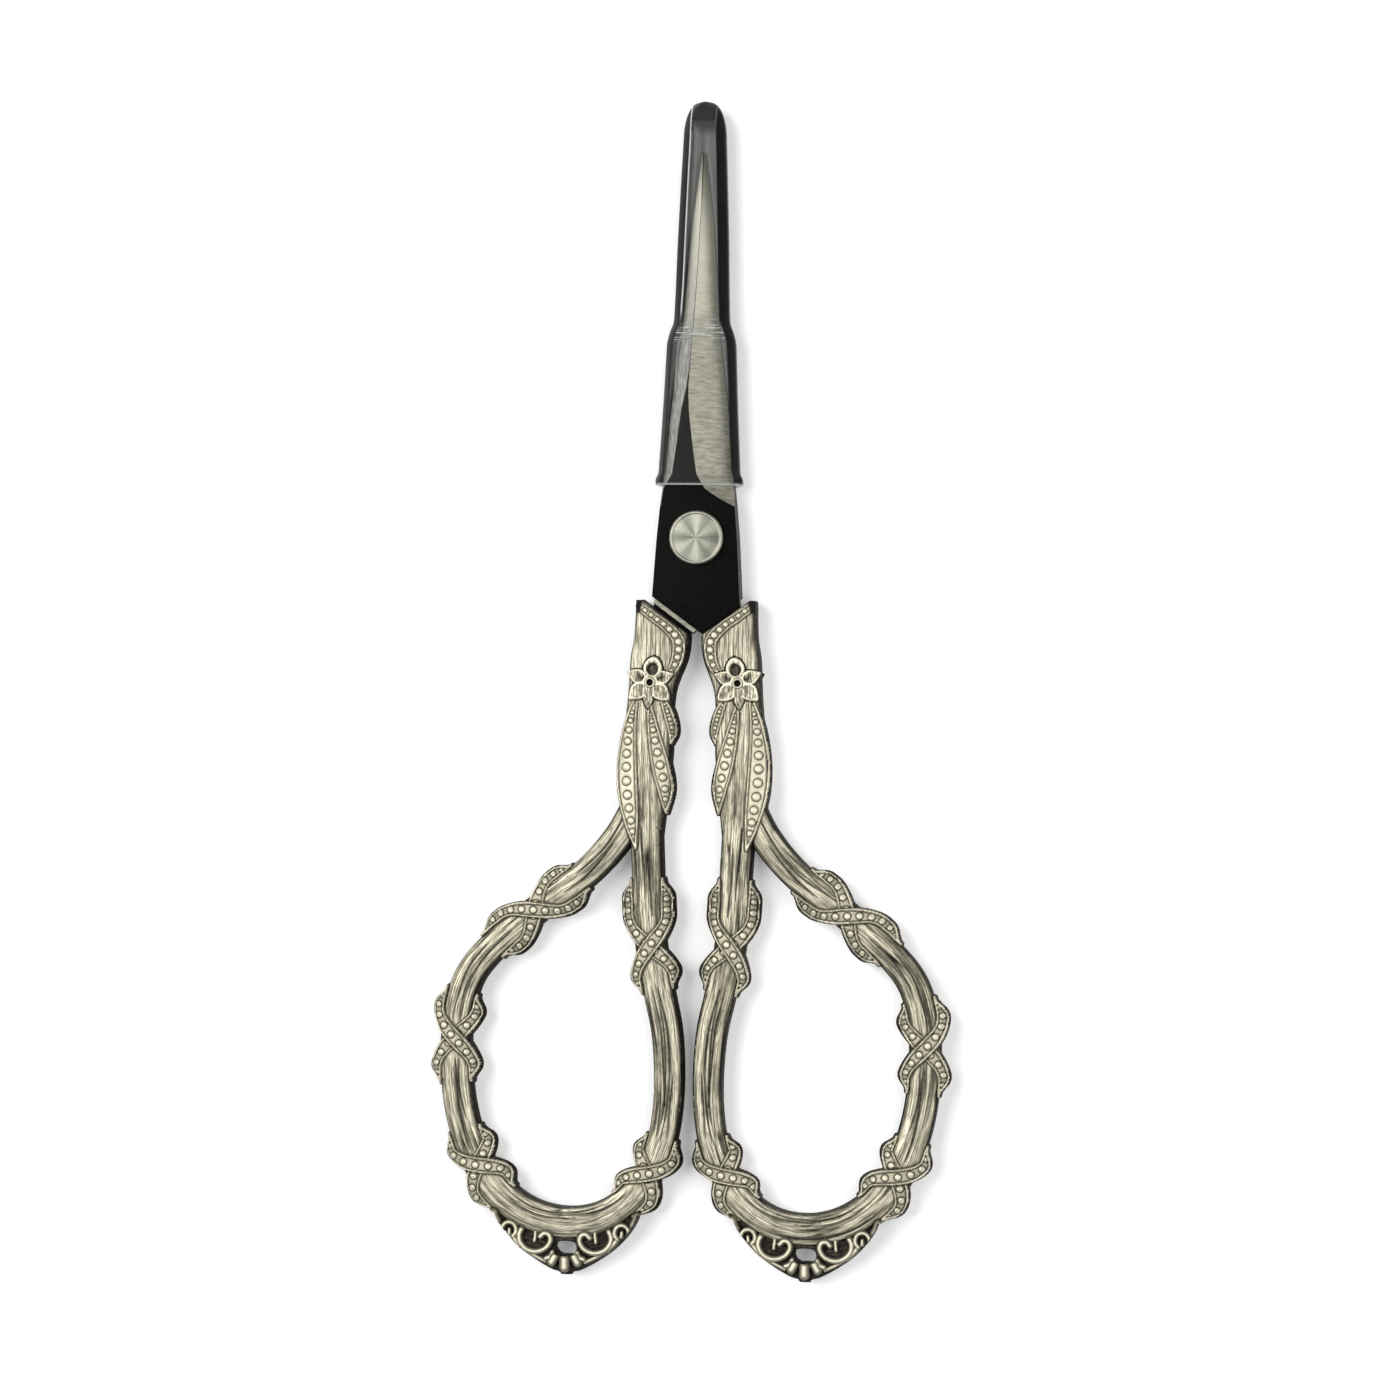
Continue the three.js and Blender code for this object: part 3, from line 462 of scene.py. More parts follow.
# Splits in the bark-like grain: share along the arms, how far aside, half length and half width.
SPLITS = [
    (0.235, -0.2, 5.5, 0.16), (0.275, 0.35, 5, 0.14), (0.3, -0.55, 3.5, 0.12), (0.44, 0.75, 5, 0.08),
    (0.475, 1.05, 6, 0.09), (0.5, 0.45, 5, 0.07), (0.25, 0.1, 6, 0.1), (0.28, -0.1, 6, 0.1),
    (0.22, 0.5, 4, 0.1), (0.635, 0.05, 5.2, 0.2), (0.65, 0.5, 3.5, 0.13), (0.765, -0.35, 4, 0.14),
    (0.785, 0.4, 4.5, 0.13), (0.92, 0.3, 4, 0.14), (0.945, -0.5, 4.5, 0.13), (0.06, 0.3, 5, 0.13),
    (0.085, -0.45, 4, 0.12),
]
# Crossings of the ribbons: share along the arms, run before and after it, run from it to where the ribbons
# are widest apart, and which hand of ribbon lies on top.
CROSSINGS = [
    (0.148, 7.4, 4.9, 3.6, 1), (0.37, 4.2, 4.4, 2.6, 1), (0.574, 4.6, 4.2, 2.6, -1),
    (0.7, 4.9, 5.2, 3.4, -1), (0.853, 6.2, 6.2, 3.6, 1),
]
RIBBON_OVERHANG = 0.45
PEARL_PITCH = 1.12
# Tails of the ribbons, from below the flower: each one's places with its half width there.
TAILS = [
    [(3.5, -17.6, 0.3), (2.75, -19.4, 0.55), (2.3, -21.4, 0.45), (2.5, -22.6, 0.15)],
    [(4.9, -18.2, 0.25), (4.3, -21.6, 0.7), (3.6, -24.8, 0.98), (3.0, -27.6, 0.85), (2.9, -30.2, 0.15)],
    [(6.35, -17.6, 0.3), (7.0, -20.6, 0.75), (7.3, -24, 1.12), (7.2, -27.5, 1.2), (6.7, -31, 0.85),
     (6.1, -34.2, 0.15)],
]
# Count, least and greatest radius of each tail's pearls.
TAIL_PEARLS = [(5, 0.2, 0.28), (9, 0.13, 0.45), (11, 0.2, 0.5)]
COLLAR_REACH = 9.75
COLLAR_STRAIGHT = [(6.1, 0.52), (4.6, 0.57), (3.1, 0.6)]
COLLAR_CURVE = [(1.85, -11.2, 0.7), (1.75, -12.6, 0.7), (2.2, -14.2, 0.6), (3.1, -15.3, 0.45)]
COLLAR_PEARLS = 11
CREST_AT = np.array([13.2, -80.7])
CREST_TOP = 6.6
CREST_PLATE = 0.88
# Height above the crest's low end and half width there.
CREST_HALF_WIDTHS = [
    (-1, 0), (0.0, 0.55), (0.3, 1.44), (1.35, 3.36), (2.9, 5.44), (5.0, 7.2), (6.4, 7.84), (7.2, 7.9),
]
OUTER_CURL = [
    (6.25 + 0.78 * math.cos(turn), 4.5 + 0.85 * math.sin(turn))
    for turn in np.radians(np.linspace(-50, 235, 10))
]
# Scrolls and buds on one side of the crest: places from its low end, half width and lift.
CREST_WIRES = [
    ([(6.9, 3.95), (5.3, 2.75), (3.6, 1.85), (2.2, 1.15)], 0.26, 0.1),
    ([(2.75, 3.85), (2.3, 4.25), (1.8, 4.1), (1.6, 3.5), (2.0, 2.75), (2.8, 2.3), (3.6, 2.25), (4.45, 2.6),
      (5.0, 3.3), (5.1, 4.0), (4.85, 4.6)], 0.36, 0.62),
    ([(3.3, 4.35), (3.35, 3.8), (3.4, 3.35)], 0.26, 0.4),
    (OUTER_CURL, 0.3, 0.55),
    ([(6.25, 4.55), (6.2, 4.05)], 0.25, 0.4),
    ([(5.75, 3.75), (5.35, 3.2), (4.9, 2.75)], 0.3, 0.45),
    ([(8.0, 6.3), (7.85, 5.85), (7.6, 5.4)], 0.52, 0.85),
    ([(1.35, 2.2), (1.6, 1.75), (2.1, 1.5)], 0.34, 0.5),
    ([(0.0, 1.45), (0.0, 1.025), (0.0, 0.6)], 0.6, 0.8),
    ([(1.08, 1.75), (1.25, 1.45), (1.42, 1.15)], 0.52, 0.8),
]
HOLE_HEIGHT = 2.6
HOLE_HALF_SIZES = (1.2, 0.8)
# Middle, direction, half length, half width and pointedness of each petal, from the right flower's eye.
PETALS = [
    ((-0.3, 1.68), 98, 1.2, 1.08, 0.12), ((1.45, 0.72), 24, 1.2, 0.85, 0.4),
    ((-1.55, 0.62), 160, 1.1, 0.78, 0.4), ((1.3, -0.98), -42, 1.3, 0.98, 0.28),
    ((-1.2, -1.05), 222, 1.3, 0.98, 0.28), ((0.08, -1.0), -88, 0.95, 0.7, 0.1),
    ((0.18, -2.05), -86, 0.85, 0.55, 0.45),
]
# Steps down a side wall: share of its height, share of its flare, and darkness, which stands both for the
# casting's blackened side and for painted shade.
WALL_STEPS = [(0.15, 0.4, 1.0), (0.9, 1.0, 1.0), (1.0, 0.0, 0.8)]
LONG_OUTLINE = 30
RIBBON_GRAIN_START = -51
SILVER_LIGHT = (0.97, 0.925, 0.74, 1)
SILVER_MID = (0.44, 0.405, 0.293, 1)
SCORED = (0.12, 0.108, 0.076, 1)
OXIDE = (0.016, 0.014, 0.011, 1)


def ramp(low, high, value):
    """0 at low and 1 at high, eased between."""
    t = np.clip((value - low) / (high - low), 0, 1)
    return t * t * (3 - 2 * t)


def dome(share, power=2):
    """1 in the middle of a rounded section and 0 at its edge."""
    return np.sqrt(np.clip(1 - np.abs(share) ** power, 0, 1))


def path_length(path):
    return np.linalg.norm(np.diff(path, axis=0), axis=1).sum()


def grain(u, v, seed):
    """A smooth random field between -1 and 1."""
    table = np.random.default_rng(seed).uniform(-1, 1, (128, 128))
    i, j = np.floor(u).astype(int), np.floor(v).astype(int)
    s, t = u - i, v - j
    s, t = s * s * (3 - 2 * s), t * t * (3 - 2 * t)
    a, b = table[i % 128, j % 128], table[(i + 1) % 128, j % 128]
    c, d = table[i % 128, (j + 1) % 128], table[(i + 1) % 128, (j + 1) % 128]
    return (a * (1 - s) + b * s) * (1 - t) + (c * (1 - s) + d * s) * t


def blurred(field, width, cell):
    """A field softened by a width in millimetres."""
    fy = np.fft.fftfreq(field.shape[0], cell)[:, None]
    fx = np.fft.rfftfreq(field.shape[1], cell)[None, :]
    keep = np.exp(-2 * (np.pi * width) ** 2 * (fx ** 2 + fy ** 2))
    return np.fft.irfft2(np.fft.rfft2(field) * keep, s=field.shape)


def sunk_below(height, cover, width, cell):
    """How far each place lies below the mean height of the metal round it."""
    filled = (cover > -0.05).astype(float)
    level = blurred(height * filled, width, cell) / np.maximum(blurred(filled, width, cell), 0.05)
    return level - height


def petal_place(x, y, petal):
    """Places along and across one petal, and how far out they are, as shares of its half sizes."""
    (mx, my), degrees, length, width, point = petal
    c, s = math.cos(math.radians(degrees)), math.sin(math.radians(degrees))
    u, v = x - mx, y - my
    a, b = (u * c + v * s) / length, (v * c - u * s) / width
    narrow = np.abs(b) / np.clip(1 - point * a, 0.3, 2)
    power = 2 - point
    return a, b, (np.abs(a) ** power + narrow ** power) ** (1 / power)


def flower_cover(x, y):
    """How far inside the flower's outline a place is."""
    cover = np.full(x.shape, -9.0)
    for petal in PETALS:
        cover = np.maximum(cover, (1 - petal_place(x, y, petal)[2]) * petal[3])
    return np.maximum(cover, 0.95 - np.hypot(x, y))


bow = smooth_line(BOW_POINTS, 1000)
bow_length = path_length(bow)
bow_run = np.linspace(0, bow_length, len(bow))
bow_way = np.gradient(bow, axis=0)
bow_way /= np.linalg.norm(bow_way, axis=1)[:, None]
bow_left = np.column_stack([-bow_way[:, 1], bow_way[:, 0]])
cast_x = np.arange(0.0, 28.7, CELL)
cast_y = np.arange(-82.0, -5.4, CELL)
X, Y = np.meshgrid(cast_x, cast_y)


def nearest_on_bow():
    """Sample of the arms' centre line nearest to each place, with far places left at the first sample."""
    flat = np.column_stack([X.ravel(), Y.ravel()])
    near = np.zeros(len(flat), bool)
    for point in bow[::15]:
        near |= ((flat - point) ** 2).sum(1) < 25
    which = np.zeros(len(flat), int)
    chosen = np.flatnonzero(near)
    for start in range(0, len(chosen), 4000):
        some = chosen[start:start + 4000]
        away = (flat[some, 0:1] - bow[:, 0]) ** 2 + (flat[some, 1:2] - bow[:, 1]) ** 2
        which[some] = away.argmin(1)
    return which.reshape(X.shape)


nearest = nearest_on_bow()
arm_run = bow_run[nearest]
arm_side = (X - bow[nearest, 0]) * bow_left[nearest, 0] + (Y - bow[nearest, 1]) * bow_left[nearest, 1]
arm_away = np.hypot(X - bow[nearest, 0], Y - bow[nearest, 1])
arm_width = eased(ARM_HALF_WIDTHS)(arm_run / bow_length) - FLARE_ROOM
arm_cover = arm_width - arm_away
shank_side = X - eased([(y, middle) for y, middle, half in SHANK_STATIONS])(Y)
shank_width = eased([(y, half) for y, middle, half in SHANK_STATIONS])(Y) - FLARE_ROOM
shank_ends = np.minimum(shoulder_reach(X, Y) - CASTING_REACH, np.minimum(Y - SHANK_LOW, SHANK_TOP - Y))
shank_cover = np.minimum(shank_width - np.abs(shank_side), shank_ends)
# The smooth ground that each kind of ornament rises from.
under_ribbons = RIBBON_FOOT + (ARM_CREST - RIBBON_FOOT) * dome(arm_away / (arm_width + 0.95))
under_tails = TAIL_FOOT + (SHANK_CREST - TAIL_FOOT) * dome(shank_side / (shank_width + 0.5), SHANK_CROWN)
under_wires = np.full(X.shape, WIRE_FOOT)


def grained_casting(seed):
    """The arms and the shank of a half casting with their cut grain, before any ornament."""
    on_arm = (arm_cover > shank_cover) | (Y < FORK)
    along = np.where(on_arm, arm_run, -Y - 28)
    across = np.where(on_arm, arm_side, X - 5.3 + 0.17 * ramp(-27, FORK, Y))
    grained = np.where(on_arm, 1.0, 0.35 + 0.65 * ramp(-26, FORK, Y))
    furrow = 0.4 * grain(along / 9, across / 0.42, seed) + 0.6 * grain(along / 7, across / 0.2, seed + 1)
    line = grain(along / 12, across / 0.46, seed + 2) + 0.35 * grain(along / 4, across / 0.25, seed + 3)
    crease = np.exp(-(line / 0.2) ** 2) * ramp(-0.4, 0.3, grain(along / 5, across / 0.9, seed + 4))
    for share, aside, half_length, half_width in SPLITS:
        apart = (arm_run - share * bow_length) / half_length
        bend = aside + 0.12 * np.sin(2.2 * apart + aside * 9)
        taper = half_width * np.sqrt(np.clip(1 - apart ** 2, 0.02, 1))
        split_here = np.exp(-((arm_side - bend) / taper) ** 2)
        crease = np.maximum(crease, 1.3 * split_here * (np.abs(apart) < 1) * on_arm)
    cut = grained * (FURROW_DEPTH * furrow - CREASE_DEPTH * crease * np.where(on_arm, 1, 0.7))
    arm = ARM_WALL + (ARM_CREST - ARM_WALL) * dome(arm_away / arm_width)
    shank = SHANK_WALL + (SHANK_CREST - SHANK_WALL) * dome(shank_side / shank_width, SHANK_CROWN)
    shank = 0.4 + (shank - 0.4) * (0.55 + 0.45 * ramp(-33.5, -27, Y))
    cover = np.maximum(arm_cover, shank_cover)
    height = np.maximum(np.where(arm_cover > -0.4, arm, 0), np.where(shank_cover > -0.4, shank, 0))
    height = np.where(height > 0, height, 0.6) + cut * ramp(-0.1, 0.4, cover)
    scored = grained * (0.7 * np.minimum(crease, 1.3) + 0.35 * ramp(0.0, 0.7, -furrow))
    cast = {name: np.zeros(X.shape) for name in ("pearl", "rim", "ring", "band")}
    cast.update(height=height, cover=cover, along=along, across=across, scored=scored)
    return cast


def raise_band(
    cast, path, half, under, lift, pearls=(), top=None, rim=0.08, body=0.2, dull=0.7, spread=True,
):
    """Raises a band with two rims and a row of pearls, or a round wire where the rim is 0. It dips where it
    passes below the band on top, dull is how far its ground is darkened, and it may spread the outline."""
    reach = half.max() + 0.4
    rows = slice(*np.searchsorted(cast_y, [path[:, 1].min() - reach, path[:, 1].max() + reach]))
    cols = slice(*np.searchsorted(cast_x, [path[:, 0].min() - reach, path[:, 0].max() + reach]))
    spot = rows, cols
    x, y = X[spot], Y[spot]

    def read(line, widths):
        away = (x[..., None] - line[:, 0]) ** 2 + (y[..., None] - line[:, 1]) ** 2
        k = away.argmin(-1)
        return k, np.sqrt(away.min(-1)), widths[k]

    k, away, here = read(path, half)
    way = np.gradient(path, axis=0)
    way /= np.linalg.norm(way, axis=1)[:, None]
    steps = np.r_[0, np.cumsum(np.linalg.norm(np.diff(path, axis=0), axis=1))]
    run = steps[k] + (x - path[k, 0]) * way[k, 0] + (y - path[k, 1]) * way[k, 1]
    if rim > 0:
        edge = ramp(0, 0.1, here - away)
        bright = ramp(0.25, 0.16, here - away)
        groove = np.exp(-((here - 0.29 - away) / 0.07) ** 2) * (here > 0.3)
        lined = np.maximum(0.9 * groove, 0.6 * ramp(0.05, 0.0, here - away))
    else:
        edge = dome(away / here)
        bright = 0.75 * ramp(0.9, 1.0, edge)
        groove = 0.0
        lined = 0.58 + 0.4 * ramp(0.8, 0.2, edge)
    raised = under[spot] + lift + edge * (body + rim * bright - 0.06 * groove) - 0.12 * (1 - edge)
    bead, ring, sunk = (np.zeros(x.shape) for _ in range(3))
    for place, radius in pearls:
        apart = np.hypot(run - place, away)
        bulge = np.sqrt(np.clip(radius ** 2 - apart ** 2, 0, None)) * min(0.6, 0.2 / radius)
        bead = np.maximum(bead, bulge)
        ring = np.maximum(ring, np.exp(-((apart - radius) / 0.065) ** 2))
    if top is not None:
        _, over_away, over_half = read(*top)
        sunk = ramp(1.35, 0.95, over_away / over_half)
    raised = raised + (bead - 0.06 * ring) * (1 - sunk) - 0.35 * sunk
    inside = away < here
    before = cast["height"][spot]
    won = inside & (raised > before)
    cast["height"][spot] = np.where(inside, np.maximum(before, raised), before)
    if spread:
        cast["cover"][spot] = np.maximum(cast["cover"][spot], here - away)
    for name, value in (
        ("pearl", ramp(0.02, 0.13, bead)),
        ("rim", bright * edge * (1 - sunk)),
        ("ring", np.maximum(ring, lined)),
        ("band", dull),
        ("along", 0.1 * run + RIBBON_GRAIN_START),
        ("across", 0.1 * away + 0.1),
    ):
        cast[name][spot] = np.where(won, value, cast[name][spot])


def wind_ribbons(cast):
    """Lays the two ribbons of each crossing round the arms, the lower one first."""
    for share, before, after, turn, upper_hand in CROSSINGS:
        s = np.linspace(-before, after, 110)
        from_end = np.minimum(s + before, after - s)
        index = (share + s / bow_length) * (len(bow) - 1)
        base, left = (
            np.column_stack([np.interp(index, np.arange(len(bow)), line[:, i]) for i in (0, 1)])
            for line in (bow, bow_left)
        )
        widest = np.interp(share, *zip(*ARM_HALF_WIDTHS)) + RIBBON_OVERHANG
        out = widest * np.sin(np.pi / 2 * np.clip(s / turn, -1, 1)) * (1 - 0.2 * ramp(2.0, 0.2, from_end))
        half = 0.86 - 0.2 * ramp(0.3, 2.6, np.abs(s)) - 0.5 * ramp(2.2, 0.0, from_end)
        lower, upper = (base + hand * left * out[:, None] for hand in (-upper_hand, upper_hand))
        for path, lift, top in ((lower, RIBBON_LOW_LIFT, (upper, half)), (upper, RIBBON_TOP_LIFT, None)):
            count = round(path_length(path) / PEARL_PITCH)
            size = 0.15 + 0.26 * np.sin(np.pi * (np.arange(count) + 0.5) / count) ** 0.7
            place = (np.cumsum(size) - size / 2) / size.sum() * path_length(path)
            raise_band(cast, path, half, under_ribbons, lift, list(zip(place, size)), top)


def lay_tails(cast):
    """Lays the tails of the ribbons on the shank."""
    for points, (count, small, large) in zip(TAILS, TAIL_PEARLS):
        line = smooth_line(points, 120)
        path, half = line[:, :2], line[:, 2]
        share = (np.arange(count) + 0.7) / (count + 0.6)
        size = small + (large - small) * np.sin(np.pi * np.clip(share * 0.8 + 0.04, 0, 1)) ** 1.3
        place = (0.08 + 0.84 * (np.cumsum(size) - size / 2) / size.sum()) * path_length(path)
        raise_band(cast, path, half, under_tails, 0.1, list(zip(place, size)), body=0.1, dull=0.4)


def lay_collar(cast):
    """Lays the pearled collar along the shoulder and down the shank's inner side."""
    straight = [
        (x, (x * math.sin(SHOULDER) - COLLAR_REACH) / math.cos(SHOULDER), half)
        for x, half in COLLAR_STRAIGHT
    ]
    line = smooth_line(straight + COLLAR_CURVE, 140)
    path, half = line[:, :2], line[:, 2]
    share = np.linspace(0.07, 0.92, COLLAR_PEARLS)
    pearls = list(zip(share * path_length(path), 0.31 + 0.1 * np.exp(-((share - 0.58) / 0.22) ** 2)))
    raise_band(cast, path, half, under_tails, 0.06, pearls, body=0.16, rim=0.1, dull=0.4, spread=False)


def build_crest(cast):
    """Adds the crest's plate below the bow, its scrolls and buds, and the hole through it."""
    low, off = Y - CREST_AT[1], np.abs(X - CREST_AT[0])
    plate = np.minimum((eased(CREST_HALF_WIDTHS)(low) - off) * 0.62, CREST_TOP - low)
    plate = np.where((low > -0.2) & (off < 9), plate, -3.0)
    cast["crest"] = (plate > -0.3) & (arm_cover < 0.02)
    cast["height"] = np.where(cast["crest"], CREST_PLATE, cast["height"])
    cast["cover"] = np.maximum(cast["cover"], plate)
    for hand in (-1, 1):
        for points, half, lift in CREST_WIRES:
            path = smooth_line(CREST_AT + np.array(points) * [hand, 1], 70)
            halves = np.full(len(path), half)
            raise_band(cast, path, halves, under_wires, lift, rim=0.0, body=0.4, dull=0.02, spread=False)
    wide, high = HOLE_HALF_SIZES
    hole = (((off / wide) ** 3 + np.abs((low - HOLE_HEIGHT) / high) ** 3) ** (1 / 3) - 1) * 0.9
    cast["cover"] = np.minimum(cast["cover"], np.where(low < 6, hole, 9))


def tarnished(cast, cover, height, facing):
    """How dark each place is: darker in hollows, on low ground and in the grain, with painted shade at the
    edges; lighter on rims and pearls.
    """
    hollow = np.zeros(X.shape)
    for width, depth, weight in ((0.13, 0.06, 0.7), (0.4, 0.28, 0.85)):
        hollow = np.maximum(hollow, weight * ramp(0.0, depth, sunk_below(height, cover, width, CELL)))
    hollow *= 1 - cast["band"]
    low_down = ramp(1.12, 0.86, height) * np.where(cast["crest"], 0.9, 1 - cast["band"])
    bare = cast["band"] < 0.01
    scored = bare * cast["scored"]
    # Painted shade: darker towards the edges of the arms and the shank, and more so and wider on the side
    # turned from the light.
    body_cover = np.maximum(arm_cover, np.minimum(shank_width - np.abs(shank_side), Y - FORK))
    turned_from_light = ramp(0.2, 0.9, -facing * np.gradient(body_cover, CELL, axis=1))
    shade_width = 0.35 + np.where(Y > FORK, 0.35, 0.05) * turned_from_light
    shade = bare * (0.35 + 0.5 * turned_from_light) * ramp(shade_width, 0.0, body_cover)
    hollow = np.maximum(np.maximum(hollow, shade + 0.5 * scored), np.maximum(scored, 0.8 * cast["ring"]))
    dark = np.maximum(hollow, low_down) * (1 - 0.8 * cast["rim"]) - 0.9 * cast["rim"] + 0.4 * cast["band"]
    dark = dark - 0.9 * cast["pearl"] * (1 - cast["ring"])
    # Painted shade in the top outer corner beside the collar.
    corner = ramp(5.85, 6.2, X + 0.25 * (Y + 8)) * ramp(-8.6, -8.1, Y)
    return np.clip(np.maximum(dark, corner), -0.9, 1)


def half_casting(seed, facing):
    """Cover, height, darkness with painted shade, and grain places of a half casting, before it is mirrored
    into place. Facing is the way along x that the sides with the deeper painted shade face."""
    cast = grained_casting(seed)
    wind_ribbons(cast)
    lay_tails(cast)
    lay_collar(cast)
    build_crest(cast)
    x, y = X - RIVET_AT[0], Y - RIVET_AT[1]
    seat = flower_cover(x, y) + SEAT_ROOM
    height = np.where(seat > 0, SEAT_LEVEL, np.minimum(cast["height"], TOP_LIMIT))
    cover = np.minimum(cast["cover"], np.hypot(x, y) - RIVET_BORE)
    return cover, height, tarnished(cast, cover, height, facing), cast["along"], cast["across"]


def relief_top(xs, ys, cover, top, marks):
    """Points, marks and faces of the top of a relief, cut along the cover's outline."""
    cell = xs[1] - xs[0]
    gy, gx = np.gradient(cover, cell)
    steep = np.maximum(gx ** 2 + gy ** 2, 0.05)
    snapped = np.abs(cover) < 0.32 * cell * np.sqrt(steep)
    px, py = np.meshgrid(xs, ys)
    px = px - np.where(snapped, cover * gx / steep, 0)
    py = py - np.where(snapped, cover * gy / steep, 0)
    inside = (cover > 0) | snapped
    count = np.sum([inside[:-1, :-1], inside[:-1, 1:], inside[1:, 1:], inside[1:, :-1]], 0)
    points, values, faces, known = [], [], [], {}

    def point(a, b):
        """A grid place, or where the outline crosses from one inside to one outside."""
        if (a, b) not in known:
            t = 0.0 if a == b else cover[a] / (cover[a] - cover[b])
            known[a, b] = len(points)
            points.append((px[a] * (1 - t) + px[b] * t, py[a] * (1 - t) + py[b] * t, top[a]))
            values.append([mark[a] for mark in marks])
        return known[a, b]

    for i, j in zip(*np.nonzero(count)):
        corners = [(i, j), (i, j + 1), (i + 1, j + 1), (i + 1, j)]
        outline = []
        for a, b in zip(corners, corners[1:] + corners[:1]):
            if inside[a]:
                outline.append(point(a, a))
            if inside[a] != inside[b]:
                inner, outer = (a, b) if inside[a] else (b, a)
                if not snapped[inner]:
                    outline.append(point(inner, outer))
        outline = list(dict.fromkeys(outline))
        if len(outline) > 2:
            faces.append(tuple(outline))
    return points, values, faces


def open_loops(faces):
    """Loops of points along the open edges of a skin."""
    edges = {(a, b) for face in faces for a, b in zip(face, face[1:] + face[:1])}
    way_on = {}
    for a, b in edges:
        if (b, a) not in edges:
            way_on.setdefault(a, []).append(b)
    loops = []
    while way_on:
        loop, here = [], next(iter(way_on))
        while here in way_on:
            loop.append(here)
            after = way_on[here].pop()
            if not way_on[here]:
                del way_on[here]
            here = after
        loops.append(loop)
    return loops


def filled_outline(outline, edges):
    """Triangles inside an outline with holes, facing down."""
    corners, _, pieces, origins, *_ = delaunay_2d_cdt([Vector(p) for p in outline], edges, [], 0, 1e-7)
    pieces = np.array(pieces)
    middle_x, middle_y = np.array(corners)[pieces].mean(1).T
    inside = np.zeros(len(pieces), bool)
    for a, b in edges:
        (xa, ya), (xb, yb) = outline[a], outline[b]
        if ya != yb:
            beside = middle_x < (xb - xa) * (middle_y - ya) / (yb - ya) + xa
            inside ^= ((ya > middle_y) != (yb > middle_y)) & beside
    return [[origins[k][0] for k in piece[::-1]] for piece in pieces[inside]]


def relief_mesh(xs, ys, cover, top, floor, marks, flare, draft=0.0):
    """A closed half casting: its relief, its side walls and its underside. The walls of long outlines lean
    out by the flare, and those facing the draft's way along x by the draft as well."""
    points, values, faces = relief_top(xs, ys, cover, top, marks)
    rims, rim_edges = [], []
    for loop in open_loops(faces):
        ring = np.array([points[k] for k in loop])
        way = np.roll(ring[:, :2], -1, 0) - np.roll(ring[:, :2], 1, 0)
        way /= np.maximum(np.linalg.norm(way, axis=1), 1e-9)[:, None]
        out = np.column_stack([way[:, 1], -way[:, 0]])
        lean = flare + abs(draft) * np.clip(np.sign(draft) * out[:, :1], 0, 1)
        if path_length(ring[:, :2]) <= LONG_OUTLINE:
            lean = 0.0
        before = loop
        after = np.roll(np.arange(len(loop)), -1)
        # Each step's darkness is partly the blackened side and partly painted shade.
        for share, push, dark in WALL_STEPS:
            z = ring[:, 2] + share * (floor - ring[:, 2])
            now = list(range(len(points), len(points) + len(loop)))
            points += [(*xy, h) for xy, h in zip(ring[:, :2] + out * push * lean, z)]
            values += [[dark, *values[k][1:]] for k in loop]
            faces += [(before[k], now[k], now[n], before[n]) for k, n in enumerate(after)]
            before = now
        rim_edges += [(len(rims) + k, len(rims) + int(n)) for k, n in enumerate(after)]
        rims += before
    outline = np.array(points, np.float32)[rims][:, :2].astype(float)
    faces += [tuple(rims[k] for k in piece) for piece in filled_outline(outline, rim_edges)]
    return np.array(points), faces, np.array(values)


def mark_points(piece, **marks):
    """Values at a piece's points, for its finish to read."""
    for title, column in marks.items():
        values = piece.data.attributes.new(title, "FLOAT", "POINT").data
        values.foreach_set("value", column.astype(np.float32))


def read_marks(tree, *titles):
    return [add_node(tree, "Attribute", {}, attribute_name=title).outputs["Fac"] for title in titles]


def cast_piece(name, made, mirror, finish, body, node):
    """One casting in its place, mirrored for its handle and its side, with its marks of darkness and painted
    shade, and its grain places.
    """
    points, faces, marks = made
    turned_faces = [f[::-1] for f in faces] if np.prod(mirror) < 0 else faces
    piece = lay_in_frame(name, points * mirror, turned_faces)
    mark_points(piece, **dict(zip(("tarnish", "along", "across"), marks.T)))
    soften(piece, 70)
    piece.data.materials.append(finish)
    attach(piece, body)
    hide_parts(node)


antique_silver, tree, shader = new_finish("antique_silver")
tarnish, along, across = read_marks(tree, "tarnish", "along", "across")


def fibres(long_scale, wide_scale, layer, detail, **more):
    """Noise drawn out along the grain of the silver."""
    long_part = reckon(tree, "MULTIPLY", along, long_scale)
    wide_part = reckon(tree, "MULTIPLY", across, wide_scale)
    return noise(tree, joined(tree, long_part, wide_part, layer), detail, Scale=1.0, **more)


streak = fibres(0.22, 4.6, 0.0, 6.0, Roughness=0.7)
cloud = noise(tree, stretched(tree, (450, 450, 450)), 4.0)
tone = mapped(tree, reckon(tree, "MULTIPLY_ADD", tarnish, -0.5, streak), 0.3, 0.78, 0.0, 1.0)
silver = between(tree, tone, SILVER_MID, SILVER_LIGHT)
polished = mapped(tree, tarnish, -0.3, 0.0, 0.1, 0.0)
ribboned = mapped(tree, along, -45, -40, 0.1, 0.0)
unscored = reckon(tree, "ADD", polished, ribboned)
# Two layers of lines scored along the grain, which polished silver and ribbons are without.
for line_grain, line_width, silver_left in (
    ((0.12, 4.6, 7.0, 1.5), 0.006, 0.0),
    ((0.4, 8.5, 3.0, 1.0), 0.01, 0.3),
):
    from_line = reckon(tree, "ABSOLUTE", reckon(tree, "SUBTRACT", fibres(*line_grain), 0.5))
    clear = mapped(tree, reckon(tree, "ADD", from_line, unscored), line_width, 0.075, silver_left, 1.0)
    silver = between(tree, clear, SCORED, silver)
